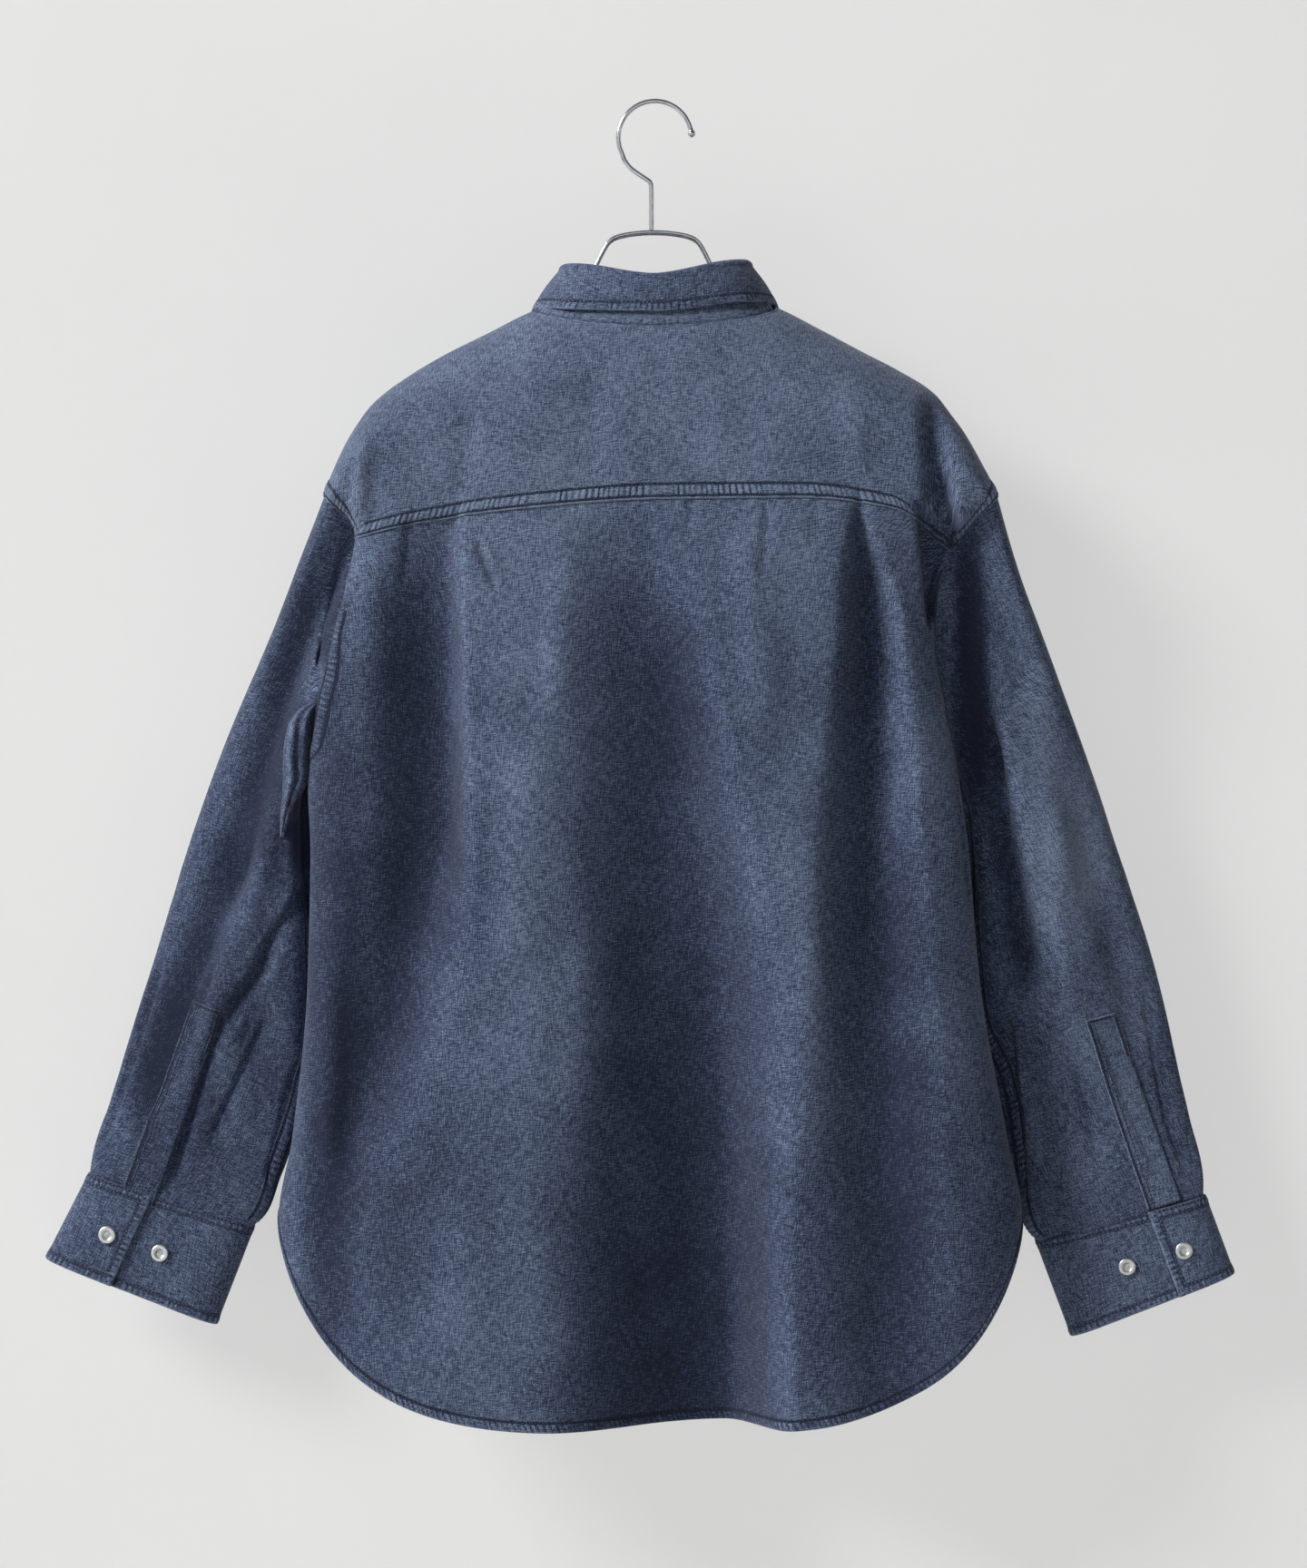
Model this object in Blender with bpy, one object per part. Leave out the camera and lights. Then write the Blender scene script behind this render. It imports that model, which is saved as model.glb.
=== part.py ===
"""Chambray shirt on a looped wire hanger, built as a Blender model.

Frame: metres, +Z up. The origin is at the top of the inside of the hanger's hook, where it bears on a
rail. -Y is the back of the shirt, +Y its buttoned front, and the wearer's left is at -X.

The shirt hangs, so its tables use millimetres and "drop", the distance below the origin. The back and
the front are sheets whose depth away from the hanger's plane is a function of x and drop.
"""

import math

import bpy
import numpy as np

MM = 0.001
ACROSS = np.array((1.0, 0.0, 0.0))
NORMAL_STEP = 3.0
SETTLING = 30

# Cloth and seams, in millimetres
CLOTH = 1.2
DOUBLE_CLOTH = 1.8
SEAM = 0.6
PANEL_GAP = 0.45
ARMHOLE_SEAM = {"left": 2.2, "right": 2.8}
NECK_SEAM = 1.3
NECK_TUCK = 2.5
LAYER = 0.9

# Body
SHOULDER_POINT = 265
UNDERARM = 455
NOTCH = 747
BACK_HEM_FALL = 137
FRONT_HEM_FALL = 108
SIDE_POWER = 3.0
FRONT_YOKE = 30
LAP = 15
UNDERLAP = 2.2
LAP_LINES = (-25, -17, 14)

# Collar
STAND_LAP = 8
LAP_SHIFT = 1.4
LAP_TURN = 160
LAP_EASE = 16
FRONT_CURVE = 50
FALL_START = 170

# Cuffs and sleeve plackets
CUFF_LAP = 28
PLACKET_WIDTH = 21
PLACKET_LENGTH = 128
PLACKET_END = 0.992

# Snaps
SNAP_FLOOR = 1.0
SNAP_SIDES = 16
SNAP_GAP = 0.5

# Hanger
HOOK_WIRE = 1.6
FRAME_WIRE = 1.3
HOOK_RADIUS = 24.6
HOOK_CENTRE = 1.0
HOOK_FROM = 14
HOOK_TO = 206


def table(names, *rows):
    """Columns by name; the first column is the one that the others are read against."""
    return dict(zip(names.split(), np.array(rows, float).T))


SHOULDER = table(
    "reach left right round",
    (0, 120, 120, 60),
    (40, 127, 125, 60),
    (82, 141, 138, 60),
    (110, 155, 152, 58),
    (140, 170, 168, 52),
    (165, 185, 181, 46),
    (188, 203, 196, 40),
    (199, 218, 210, 36),
    (207, 232, 221, 32),
    (221, 265, 246, 26),
    (231, 290, 265, 24),
)

# Section of a snap's cap, from its edge on the cloth over the rim and down to the sunk middle
SNAP_PROFILE = table(
    "line radius height",
    (0, 6.0, 0.0),
    (1, 6.0, 0.9),
    (2, 5.0, 2.2),
    (3, 3.7, 2.2),
    (4, 3.1, 1.2),
)

BODY = table(
    "drop left right back front back_left back_right front_left front_right",
    (265, -221, 231, 43, 50, 22, 20, 26, 26),
    (290, -198, 207, 46, 54, 22, 12, 32, 34),
    (326, -204, 190, 48, 57, 28, 6, 40, 40),
    (361, -212, 188, 50, 58, 28, 2, 40, 40),
    (409, -224, 196, 52, 60, 18, 0, 26, 28),
    (455, -231, 204, 53, 60, 6, 6, -6, -6),
    (500, -229, 210, 54, 60, 8, 8, -8, -8),
    (591, -231, 218, 56, 61, 8, 8, -8, -8),
    (693, -241, 236, 58, 62, 8, 8, -8, -8),
    (747, -250, 246, 58, 62, 8, 8, -8, -8),
    (893, -250, 246, 58, 62, 8, 8, -8, -8),
)

YOKE_SEAM = table(
    "x drop",
    (-197, 294),
    (-158, 285),
    (-87, 275.5),
    (0, 269),
    (98, 268),
    (160, 275.5),
    (198, 302),
)

# Cells of the panels' grids: between one guide line and the next, and down
BACK_CELLS = (6, 8, 8, 6)
BACK_ROWS = 13
FRONT_CELLS = 6
FRONT_ROWS = 12
BAND_ROWS = 16
ROW_SPREAD = 1.15
COLUMN_SPREAD = 1.35

# Folds: where the valley lies at each drop, how deep it is, and how far its two flanks reach
TUCK_LEFT = table(
    "drop x depth left right",
    (272, -127, 2, 46, 6),
    (357, -130, 18, 50, 10),
    (449, -133, 26, 52, 14),
    (540, -150, 25, 50, 24),
    (662, -183, 17, 44, 40),
    (747, -222, 6, 24, 44),
    (893, -226, 0, 24, 44),
)
CENTRE = table(
    "drop x depth left right",
    (272, -14, 2, 50, 40),
    (357, -2, 10, 60, 30),
    (449, 8, 20, 70, 34),
    (540, 20, 31, 84, 34),
    (662, 32, 45, 104, 30),
    (785, 45, 57, 118, 28),
    (893, 48, 62, 122, 28),
)
TUCK_RIGHT = table(
    "drop x depth left right",
    (272, 134, 4, 16, 6),
    (327, 137, 22, 26, 10),
    (418, 141, 27, 32, 14),
    (540, 147, 24, 40, 22),
    (662, 159, 21, 48, 30),
    (785, 168, 17, 56, 34),
    (893, 168, 12, 56, 34),
)
BACK_FOLDS = (TUCK_LEFT, CENTRE, TUCK_RIGHT)

FRONT_VALLEY_LEFT = table(
    "drop x depth left right",
    (272, -108, 2, 30, 30),
    (449, -104, 12, 42, 36),
    (662, -112, 22, 50, 44),
    (893, -118, 28, 56, 48),
)
FRONT_VALLEY_RIGHT = table(
    "drop x depth left right",
    (272, 96, 2, 30, 30),
    (449, 102, 14, 38, 40),
    (662, 106, 20, 46, 48),
    (893, 112, 24, 50, 54),
)
FRONT_FOLDS = (FRONT_VALLEY_LEFT, FRONT_VALLEY_RIGHT)

# Collar stations round the neck, from the middle of the back (0) to the middle of the front (180)
COLLAR = table(
    "turn top_x top_y top_drop fall_x fall_y fall_drop",
    (-180, 0, 48, 186, -20, 64, 240),
    (-165, -17, 47, 181, -38, 64, 243),
    (-135, -43, 39, 153, -70, 55, 200),
    (-112, -54, 23, 125, -83, 44, 166),
    (-90, -58, 3, 110, -84, 4, 138),
    (-45, -37, -24, 113, -58, -37, 142),
    (0, 0, -32, 118, 0, -45, 144),
    (45, 40, -24, 111, 60, -37, 137),
    (90, 61, 3, 107, 86, 4, 135),
    (112, 56, 23, 123, 84, 44, 164),
    (135, 44, 39, 153, 71, 55, 200),
    (165, 17, 47, 181, 38, 64, 243),
    (180, 0, 48, 186, 20, 64, 240),
)
# The leaf's roll over the stand's top edge: how far outward and up each line of it lies
LEAF_ROLL = table(
    "line out up",
    (0, -0.4, 2.3),
    (1, 1.8, 2.8),
    (2, 4.6, 1.2),
    (3, 5.5, -1.6),
)
NECK_HALF_WIDTH = 80
NECK_SIDE = 141
BACK_NECK_FALL = 13
FRONT_NECK_FALL = 74
FALL_ROLL = 3.7
LEAF_ROWS = 3
LEAF_BELLY = 1.6
COLLAR_TURNS = 37
COLLAR_LIFT = 3.0

# Sleeves: the outer and the inner edge of the hanging tube, and how it lies in depth
SLEEVE_LEFT = table(
    "along outer_x outer_drop inner_x inner_drop y depth",
    (0.00, -222, 265, -232, 455, 4, 34),
    (0.10, -241, 312, -240, 482, 12, 34),
    (0.20, -259, 357, -239, 515, 19, 33),
    (0.35, -288, 425, -233, 563, 25, 32),
    (0.50, -312, 492, -231, 612, 27, 31),
    (0.70, -340, 582, -236, 664, 26, 27),
    (0.85, -360, 649, -246, 704, 23, 22),
    (0.96, -375, 703, -264, 743, 20.5, 15),
    (1.00, -377.5, 724, -276.5, 757, 20, 8.0),
)
SLEEVE_RIGHT = table(
    "along outer_x outer_drop inner_x inner_drop y depth",
    (0.00, 232, 265, 206, 455, 4, 34),
    (0.10, 246, 312, 216, 482, 12, 34),
    (0.20, 263, 357, 219, 515, 19, 33),
    (0.35, 288, 425, 217, 563, 25, 32),
    (0.50, 311, 492, 220, 612, 27, 31),
    (0.70, 340, 582, 230, 664, 26, 27),
    (0.85, 355, 649, 240, 706, 23, 22),
    (0.96, 367, 715, 254, 753, 20.5, 15),
    (1.00, 368, 738.5, 265, 767, 20, 8.8),
)
ARMHOLE_FADE = 0.42
SLEEVE_RINGS = 12
SLEEVE_SIDES = 24
RING_SPREAD = 1.1
SLEEVE_POWER = 0.9
SLEEVE_LENGTH = 500

# Long soft folds down each sleeve: the angle round the tube from its outer edge, negative in front
SLEEVE_FOLDS = table(
    "angle start end depth width",
    (48, 0.02, 0.92, 9, 30),
    (112, 0.22, 1.00, 8, 34),
    (-60, 0.08, 0.90, 8, 34),
    (-125, 0.20, 0.96, 7, 34),
)

# Cuffs: the corners seen from the back, and the place of the lap and the placket across the cuff
CUFF_LEFT = {"outer_top": (-380.6, 721), "inner_top": (-270.2, 756.4), "outer_foot": (-409.9, 778.4),
             "inner_foot": (-295.9, 822.9), "lap": 0.39, "placket": 0.30, "placket_top": 0.37}
CUFF_RIGHT = {"outer_top": (372, 736), "inner_top": (258.6, 765.6), "outer_foot": (391.6, 788.7),
              "inner_foot": (283, 830.8), "lap": 0.345, "placket": 0.24, "placket_top": 0.36}
CUFF_Y = 20
CUFF_DEPTH = 12
CUFF_WIDTH = 114
CUFF_POWER = 6
CUFF_LAYER = 1.5
CUFF_BELLY = 0.1
CUFF_ROWS = 5
CUFF_CORNERS = ("outer_top", "inner_top", "outer_foot", "inner_foot")

# Snaps on a cuff: how far across from the outer edge and how far down
CUFF_SNAPS = {"left": ((0.25, 0.52), (0.563, 0.52)), "right": ((0.228, 0.52), (0.566, 0.50))}
FRONT_SNAP_DROPS = (300, 388, 476, 564, 652, 740)

# Hanger hook: the ball at its end, with sizes in wire radii, and the path down from the ring to the stem
HOOK_BALL = table(
    "line x drop size",
    (0, 25.4, 22.9, 0.35),
    (1, 25.5, 22.4, 1.10),
    (2, 25.6, 21.4, 1.65),
    (3, 25.7, 20.2, 1.30),
    (4, 25.7, 19.4, 1.00),
)
HOOK_NECK = table(
    "drop x",
    (38.0, -19.6),
    (42.2, -16.6),
    (45.6, -12.8),
    (51.6, -4.0),
    (53.2, -2.4),
    (55.4, -1.6),
    (64, -1.4),
    (76, -1.4),
    (84, -1.4),
    (92, -1.4),
)

# Hanger frame: a wire's path down one side, and how far it stands from the hanger's plane
FRAME_SIDE = table(
    "x drop y",
    (0, 87, 3.6),
    (12, 87.6, 3.6),
    (23, 89.6, 3.6),
    (29, 92.6, 3.6),
    (33, 98, 3.7),
    (40, 112, 4.2),
    (50, 133, 5.0),
    (58, 148, 6.0),
    (66, 155.5, 7.0),
)
TIP_REACH = 181
TIP_BEND = 8
TIP_Y = 15
TIP_CLEARANCE = 2.6
TIP_FALL = 1.5
FRAME_GAP = 1.2
FRAME_SAG = 8

COLOURS = {
    "chambray": (0.092, 0.130, 0.215, 1.0),
    "chambray_trim": (0.080, 0.112, 0.190, 1.0),
    "snap": (0.78, 0.77, 0.74, 1.0),
    "chrome": (0.70, 0.71, 0.72, 1.0),
}


# ---------------------------------------------------------------- reading tables

def read(rows, column, at):
    """A column's smooth value: monotone cubic between rows, constant past the ends."""
    first = next(iter(rows))
    xs = rows[first]
    ys = rows[column]
    at = np.clip(np.asarray(at, float), xs[0], xs[-1])
    step = np.diff(xs)
    slope = np.diff(ys) / step
    tangent = np.zeros(len(xs))
    tangent[0] = slope[0]
    tangent[-1] = slope[-1]
    rising = slope[:-1] * slope[1:] > 0
    left = 2 * step[1:] + step[:-1]
    right = step[1:] + 2 * step[:-1]
    safe = np.where(rising, slope[:-1], 1), np.where(rising, slope[1:], 1)
    tangent[1:-1] = np.where(rising, (left + right) / (left / safe[0] + right / safe[1]), 0)
    i = np.clip(np.searchsorted(xs, at, side="right") - 1, 0, len(xs) - 2)
    t = (at - xs[i]) / step[i]
    rise = ys[i] * (1 + 2 * t) * (1 - t) ** 2 + ys[i + 1] * t * t * (3 - 2 * t)
    return rise + step[i] * t * (1 - t) * (tangent[i] * (1 - t) - tangent[i + 1] * t)


def ease(t):
    t = np.clip(t, 0, 1)
    return t * t * (3 - 2 * t)


# ---------------------------------------------------------------- the body's form

def ridge(x):
    """Drop of the shoulder line at x."""
    reach = np.abs(x)
    return np.where(np.asarray(x) < 0, read(SHOULDER, "left", reach), read(SHOULDER, "right", reach))


def ridge_cap(x, drop):
    """Nothing on the shoulder line, full depth once the cloth has rounded over it."""
    down = np.clip((drop - ridge(x)) / read(SHOULDER, "round", np.abs(x)), 0, 1)
    return np.sqrt(np.clip(1 - (1 - down) ** 2, 0, 1))


def valley(fold, x, drop):
    """Depth of a fold's valley at x, falling off over its own reach on each side."""
    away = x - read(fold, "x", drop)
    reach = np.where(away < 0, read(fold, "left", drop), read(fold, "right", drop))
    t = np.clip(np.abs(away) / reach, 0, 1)
    return read(fold, "depth", drop) * (0.5 + 0.5 * np.cos(math.pi * t))


def across(x, drop):
    """Place across the body, -1 at the left edge and 1 at the right edge."""
    left = read(BODY, "left", drop)
    right = read(BODY, "right", drop)
    return np.clip((2 * x - left - right) / (right - left), -1, 1)


def sheet_depth(side, folds, x, drop):
    """Distance of the back or front sheet from the hanger's plane."""
    xi = across(x, drop)
    edge = np.where(xi < 0, read(BODY, side + "_left", drop), read(BODY, side + "_right", drop))
    middle = read(BODY, side, drop)
    rounding = (1 - np.abs(xi) ** SIDE_POWER) ** (1 / SIDE_POWER)
    shaped = edge + (middle - edge) * rounding
    for fold in folds:
        shaped = shaped - valley(fold, x, drop) * rounding
    turned = ease((drop - SHOULDER_POINT + 15) / 40)
    return (middle + (shaped - middle) * turned) * ridge_cap(x, drop)


def back_point(x, drop):
    return np.stack([x, -sheet_depth("back", BACK_FOLDS, x, drop), -drop], -1)


def front_point(x, drop):
    return np.stack([x, sheet_depth("front", FRONT_FOLDS, x, drop), -drop], -1)


def sheet_normal(side, folds, x, drop):
    """Outward normals of the back or front sheet."""
    x = np.asarray(x, float)
    drop = np.asarray(drop, float)
    low = np.maximum(x - NORMAL_STEP, read(BODY, "left", drop))
    high = np.minimum(x + NORMAL_STEP, read(BODY, "right", drop))
    slope_x = (sheet_depth(side, folds, high, drop) - sheet_depth(side, folds, low, drop)) / (high - low)
    above = np.maximum(drop - NORMAL_STEP / 2, ridge(x))
    below = drop + NORMAL_STEP / 2
    slope_drop = (sheet_depth(side, folds, x, below) - sheet_depth(side, folds, x, above)) / (below - above)
    out = 1.0 if side == "front" else -1.0
    normal = np.stack([-slope_x, np.full_like(x, out), slope_drop], -1)
    return normal / np.linalg.norm(normal, axis=-1, keepdims=True)


def hem_drop(xi, fall):
    """Shirt-tail curve, from the side notches down to the middle."""
    return NOTCH + fall * (1 - np.abs(xi) ** 4) ** 0.65


# ---------------------------------------------------------------- meshes

def add_object(name, verts, faces, material):
    mesh = bpy.data.meshes.new(name)
    mesh.from_pydata([tuple(v * MM) for v in verts], [], faces)
    mesh.update()
    mesh.materials.append(material)
    piece = bpy.data.objects.new(name, mesh)
    bpy.context.scene.collection.objects.link(piece)
    mesh.shade_smooth()
    mesh.set_sharp_from_angle(angle=math.radians(40))
    if signed_volume(mesh) < 0:
        mesh.flip_normals()
    return piece


def signed_volume(mesh):
    mesh.calc_loop_triangles()
    total = 0.0
    for triangle in mesh.loop_triangles:
        a, b, c = (mesh.vertices[i].co for i in triangle.vertices)
        total += a.dot(b.cross(c))
    return total


def grid_normals(points, round_rows, round_columns):
    """Unit normals of a grid of points, from its neighbours along both ways."""

    def along(axis, closed):
        if closed:
            return np.roll(points, -1, axis) - np.roll(points, 1, axis)
        return np.gradient(points, axis=axis)

    normal = np.cross(along(0, round_rows), along(1, round_columns))
    return normal / np.linalg.norm(normal, axis=-1, keepdims=True)


def shell(name, points, thickness, material, closed_columns=False, seams=()):
    """A closed wall of even thickness about a grid of mid-surface points.

    Each entry of seams is a row or column and the normals that it shares with the next piece.
    """
    rows, columns = points.shape[:2]
    normal = grid_normals(points, False, closed_columns)
    for place, shared in seams:
        agrees = np.sum(normal[place] * shared, axis=-1, keepdims=True) > 0
        normal[place] = np.where(agrees, shared, -shared)
    half = 0.5 * thickness * normal
    verts = np.concatenate([(points + half).reshape(-1, 3), (points - half).reshape(-1, 3)])
    under = rows * columns
    last = columns if closed_columns else columns - 1

    def at(i, j):
        return i * columns + j % columns

    faces = []
    for i in range(rows - 1):
        for j in range(last):
            a, b, c, d = at(i, j), at(i, j + 1), at(i + 1, j + 1), at(i + 1, j)
            faces.append((a, b, c, d))
            faces.append((d + under, c + under, b + under, a + under))
    for j in range(last):
        top = at(0, j), at(0, j + 1)
        foot = at(rows - 1, j), at(rows - 1, j + 1)
        faces.append((top[1], top[0], top[0] + under, top[1] + under))
        faces.append((foot[0], foot[1], foot[1] + under, foot[0] + under))
    if not closed_columns:
        for i in range(rows - 1):
            left = at(i, 0), at(i + 1, 0)
            right = at(i, columns - 1), at(i + 1, columns - 1)
            faces.append((left[0], left[1], left[1] + under, left[0] + under))
            faces.append((right[1], right[0], right[0] + under, right[1] + under))
    return add_object(name, verts, faces, material)


def make_material(name, roughness, metallic):
    material = bpy.data.materials.new(name)
    material.use_nodes = True
    shader = material.node_tree.nodes["Principled BSDF"]
    shader.inputs["Base Color"].default_value = COLOURS[name]
    shader.inputs["Roughness"].default_value = roughness
    shader.inputs["Metallic"].default_value = metallic
    material.diffuse_color = COLOURS[name]
    return material


# ---------------------------------------------------------------- panels

def spread(cells):
    """Fractions from one fold line to the next, closer together beside the line."""
    t = np.linspace(0, 1, cells + 1)[:-1]
    return t ** COLUMN_SPREAD


def column_places(lines, cells, drop):
    """x of each column at a drop: the columns run along the fold lines."""
    places = []
    for start, end, count in zip(lines[:-1], lines[1:], cells):
        a = start(drop)
        b = end(drop)
        places.extend(a + (b - a) * f for f in spread(count))
    places.append(lines[-1](drop))
    return np.array(places)


def edge_line(column):
    return lambda drop: read(BODY, column, drop)


def fold_line(fold):
    return lambda drop: read(fold, "x", drop)


def panel_grid(lines, cells, rows, top, foot, point):
    """Points of a panel between a top seam and a hem, column by column."""
    count = sum(cells) + 1
    grid = np.zeros((rows + 1, count, 3))
    for j in range(count):
        def place(drop):
            return column_places(lines, cells, drop)[j]

        start = float(SHOULDER_POINT)
        end = float(NOTCH)
        for _ in range(SETTLING):
            start = 0.6 * start + 0.4 * top(place(start), start)
            end = 0.5 * end + 0.5 * foot(place(end), end)
        for i, v in enumerate(np.linspace(0, 1, rows + 1) ** ROW_SPREAD):
            drop = start + (end - start) * v
            grid[i, j] = point(place(drop), drop)
    return grid


def back_top(x, drop):
    return read(YOKE_SEAM, "drop", x) + SEAM / 2


def back_foot(x, drop):
    return hem_drop(across(x, max(drop, NOTCH)), BACK_HEM_FALL)


def back_lines():
    folds = [fold_line(fold) for fold in BACK_FOLDS]
    return [edge_line("left"), *folds, edge_line("right")]


def make_back_panel(material):
    grid = panel_grid(back_lines(), BACK_CELLS, BACK_ROWS, back_top, back_foot, back_point)
    grid[:, :, 1] -= PANEL_GAP
    top = sheet_normal("back", BACK_FOLDS, grid[0, :, 0], -grid[0, :, 2])
    seams = ((np.s_[:, 0], ACROSS), (np.s_[:, -1], ACROSS), (np.s_[0], top))
    return shell("back_panel", grid, CLOTH, material, seams=seams)


def front_fall_line(x):
    """Drop of the front neck curve at x."""
    turn = np.sqrt(np.clip(1 - (x / NECK_HALF_WIDTH) ** 2, 0, 1))
    return NECK_SIDE + FRONT_NECK_FALL * turn


def front_top(x, drop):
    """The front's upper edge: along the yoke's front seam, then down the neck curve."""
    yoke_line = ridge(x) + FRONT_YOKE + SEAM / 2
    if abs(x) < NECK_HALF_WIDTH:
        return max(yoke_line, front_fall_line(x) + NECK_SEAM)
    return yoke_line


def front_foot(x, drop):
    return hem_drop(across(x, max(drop, NOTCH)), FRONT_HEM_FALL)


def front_under_point(x, drop):
    """The front that goes under the lap, set back there by a layer of cloth."""
    point = front_point(x, drop)
    point[..., 1] -= UNDERLAP * ease((x - LAP_LINES[0]) / (LAP_LINES[1] - LAP_LINES[0]))
    return point


def neck_edge(side, fall):
    """x where the front neck edge crosses the line that lies a fall below the shoulder line."""
    x = NECK_HALF_WIDTH
    for _ in range(SETTLING):
        drop = float(ridge(side * x)) + fall
        turn = min(1.0, max(0.0, (drop - NECK_SIDE) / FRONT_NECK_FALL))
        x = 0.5 * x + 0.5 * (NECK_HALF_WIDTH * math.sqrt(1 - turn * turn) + NECK_SEAM)
    return side * x


def fixed_line(x):
    return lambda drop: x


def front_grid(side):
    """A front's points: guide lines at the side, at the neck corner and about the lap."""
    if side < 0:
        lines = [edge_line("left"), fixed_line(neck_edge(-1, FRONT_YOKE)), fixed_line(LAP_LINES[0]),
                 fixed_line(LAP_LINES[1]), fixed_line(LAP_LINES[2])]
        cells = (FRONT_CELLS, 4, 1, 2)
        grid = panel_grid(lines, cells, FRONT_ROWS, front_top, front_foot, front_under_point)
    else:
        lines = [fixed_line(-LAP), fixed_line(neck_edge(1, FRONT_YOKE)), edge_line("right")]
        cells = (FRONT_CELLS, FRONT_CELLS)
        grid = panel_grid(lines, cells, FRONT_ROWS, front_top, front_foot, front_point)
    grid[:, :, 1] += PANEL_GAP
    return grid


def make_fronts(material):
    for side, name, edge in ((-1, "front_left", 0), (1, "front_right", -1)):
        grid = front_grid(side)
        under_yoke = np.s_[0, : FRONT_CELLS + 1] if side < 0 else np.s_[0, -FRONT_CELLS - 1 :]
        seam = grid[under_yoke]
        shared = sheet_normal("front", FRONT_FOLDS, seam[:, 0], -seam[:, 2])
        shell(name, grid, CLOTH, material, seams=((np.s_[:, edge], ACROSS), (under_yoke, shared)))


def make_front_placket(material):
    """The band on the upper front, moved out from that front's own points."""
    lift = CLOTH + LAYER
    xs = np.linspace(-LAP, LAP, 5)
    grid = np.zeros((BAND_ROWS, len(xs), 3))
    for j, x in enumerate(xs):
        start = front_top(x, 0) + SEAM
        end = front_foot(x, front_foot(x, NOTCH))
        drops = np.linspace(start, end, len(grid))
        grid[:, j] = front_point(np.full(len(grid), x), drops)
    grid[:, :, 1] += PANEL_GAP
    grid += lift * np.array((0, 1, 0))
    return shell("front_placket", grid, CLOTH, material)


# ---------------------------------------------------------------- yoke

def chart_point(x, q):
    """Yoke chart: q is the root of the fall below the shoulder line, negative at the back."""
    drop = ridge(x) + q * q
    y = np.where(
        q < 0,
        -sheet_depth("back", BACK_FOLDS, x, drop) - PANEL_GAP,
        sheet_depth("front", FRONT_FOLDS, x, drop) + PANEL_GAP,
    )
    y = np.where(np.abs(q) < 1e-6, 0, y)
    return np.stack([x, y, -drop], -1)


def chart_q(x, drop, side):
    return side * np.sqrt(np.clip(drop - ridge(x), 0, None))


def neck_rim():
    """The yoke's neck edge in the chart, from the left front seam round the back to the right."""
    front_q = math.sqrt(FRONT_YOKE - SEAM / 2)
    rim = [(neck_edge(-1, (front_q * f) ** 2), front_q * f) for f in (1.0, 0.75, 0.5, 0.25)]
    for angle in np.linspace(-90, 90, 13):
        turn = math.radians(angle)
        x = (NECK_HALF_WIDTH + NECK_SEAM) * math.sin(turn)
        drop = NECK_SIDE + BACK_NECK_FALL * math.cos(turn) ** 1.4
        rim.append((x, float(chart_q(x, drop, -1))))
    rim += [(neck_edge(1, (front_q * f) ** 2), front_q * f) for f in (0.25, 0.5, 0.75, 1.0)]
    return rim


def front_corner_drop(edge):
    """Drop where the yoke's front seam meets the armhole."""
    low = SHOULDER_POINT
    high = SHOULDER_POINT + FRONT_YOKE
    for _ in range(SETTLING):
        drop = 0.5 * (low + high)
        if drop - ridge(read(BODY, edge, drop)) < FRONT_YOKE - SEAM / 2:
            low = drop
        else:
            high = drop
    return low


def armhole_rim(side, corner):
    """The yoke's armhole edge in the chart, from its front seam over the shoulder to the back seam,
    at the same places as the sleeve's head."""
    edge = "left" if side < 0 else "right"
    step = math.radians(360 / SLEEVE_SIDES)
    falls = [armhole_drop(step * k) for k in (2, 1)]
    front = [front_corner_drop(edge)] + [fall for fall in falls if fall < front_corner_drop(edge) - 2]
    back = [fall for fall in falls[::-1] if fall < corner - 2] + [corner]
    rim = []
    for drop, face in [(d, 1) for d in front] + [(SHOULDER_POINT, 1)] + [(d, -1) for d in back]:
        x = float(read(BODY, edge, drop))
        rim.append((x, float(chart_q(x, drop, face))))
    return rim


def resample(path, count):
    """Evenly spaced points along a path of (x, q) pairs; q is weighted to be about as long as x."""
    path = np.array(path, float)
    weight = np.array((1.0, 9.0))
    length = np.r_[0, np.cumsum(np.linalg.norm(np.diff(path * weight, axis=0), axis=1))]
    at = np.linspace(0, length[-1], count)
    return np.stack([np.interp(at, length, path[:, k]) for k in (0, 1)], -1)


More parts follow.
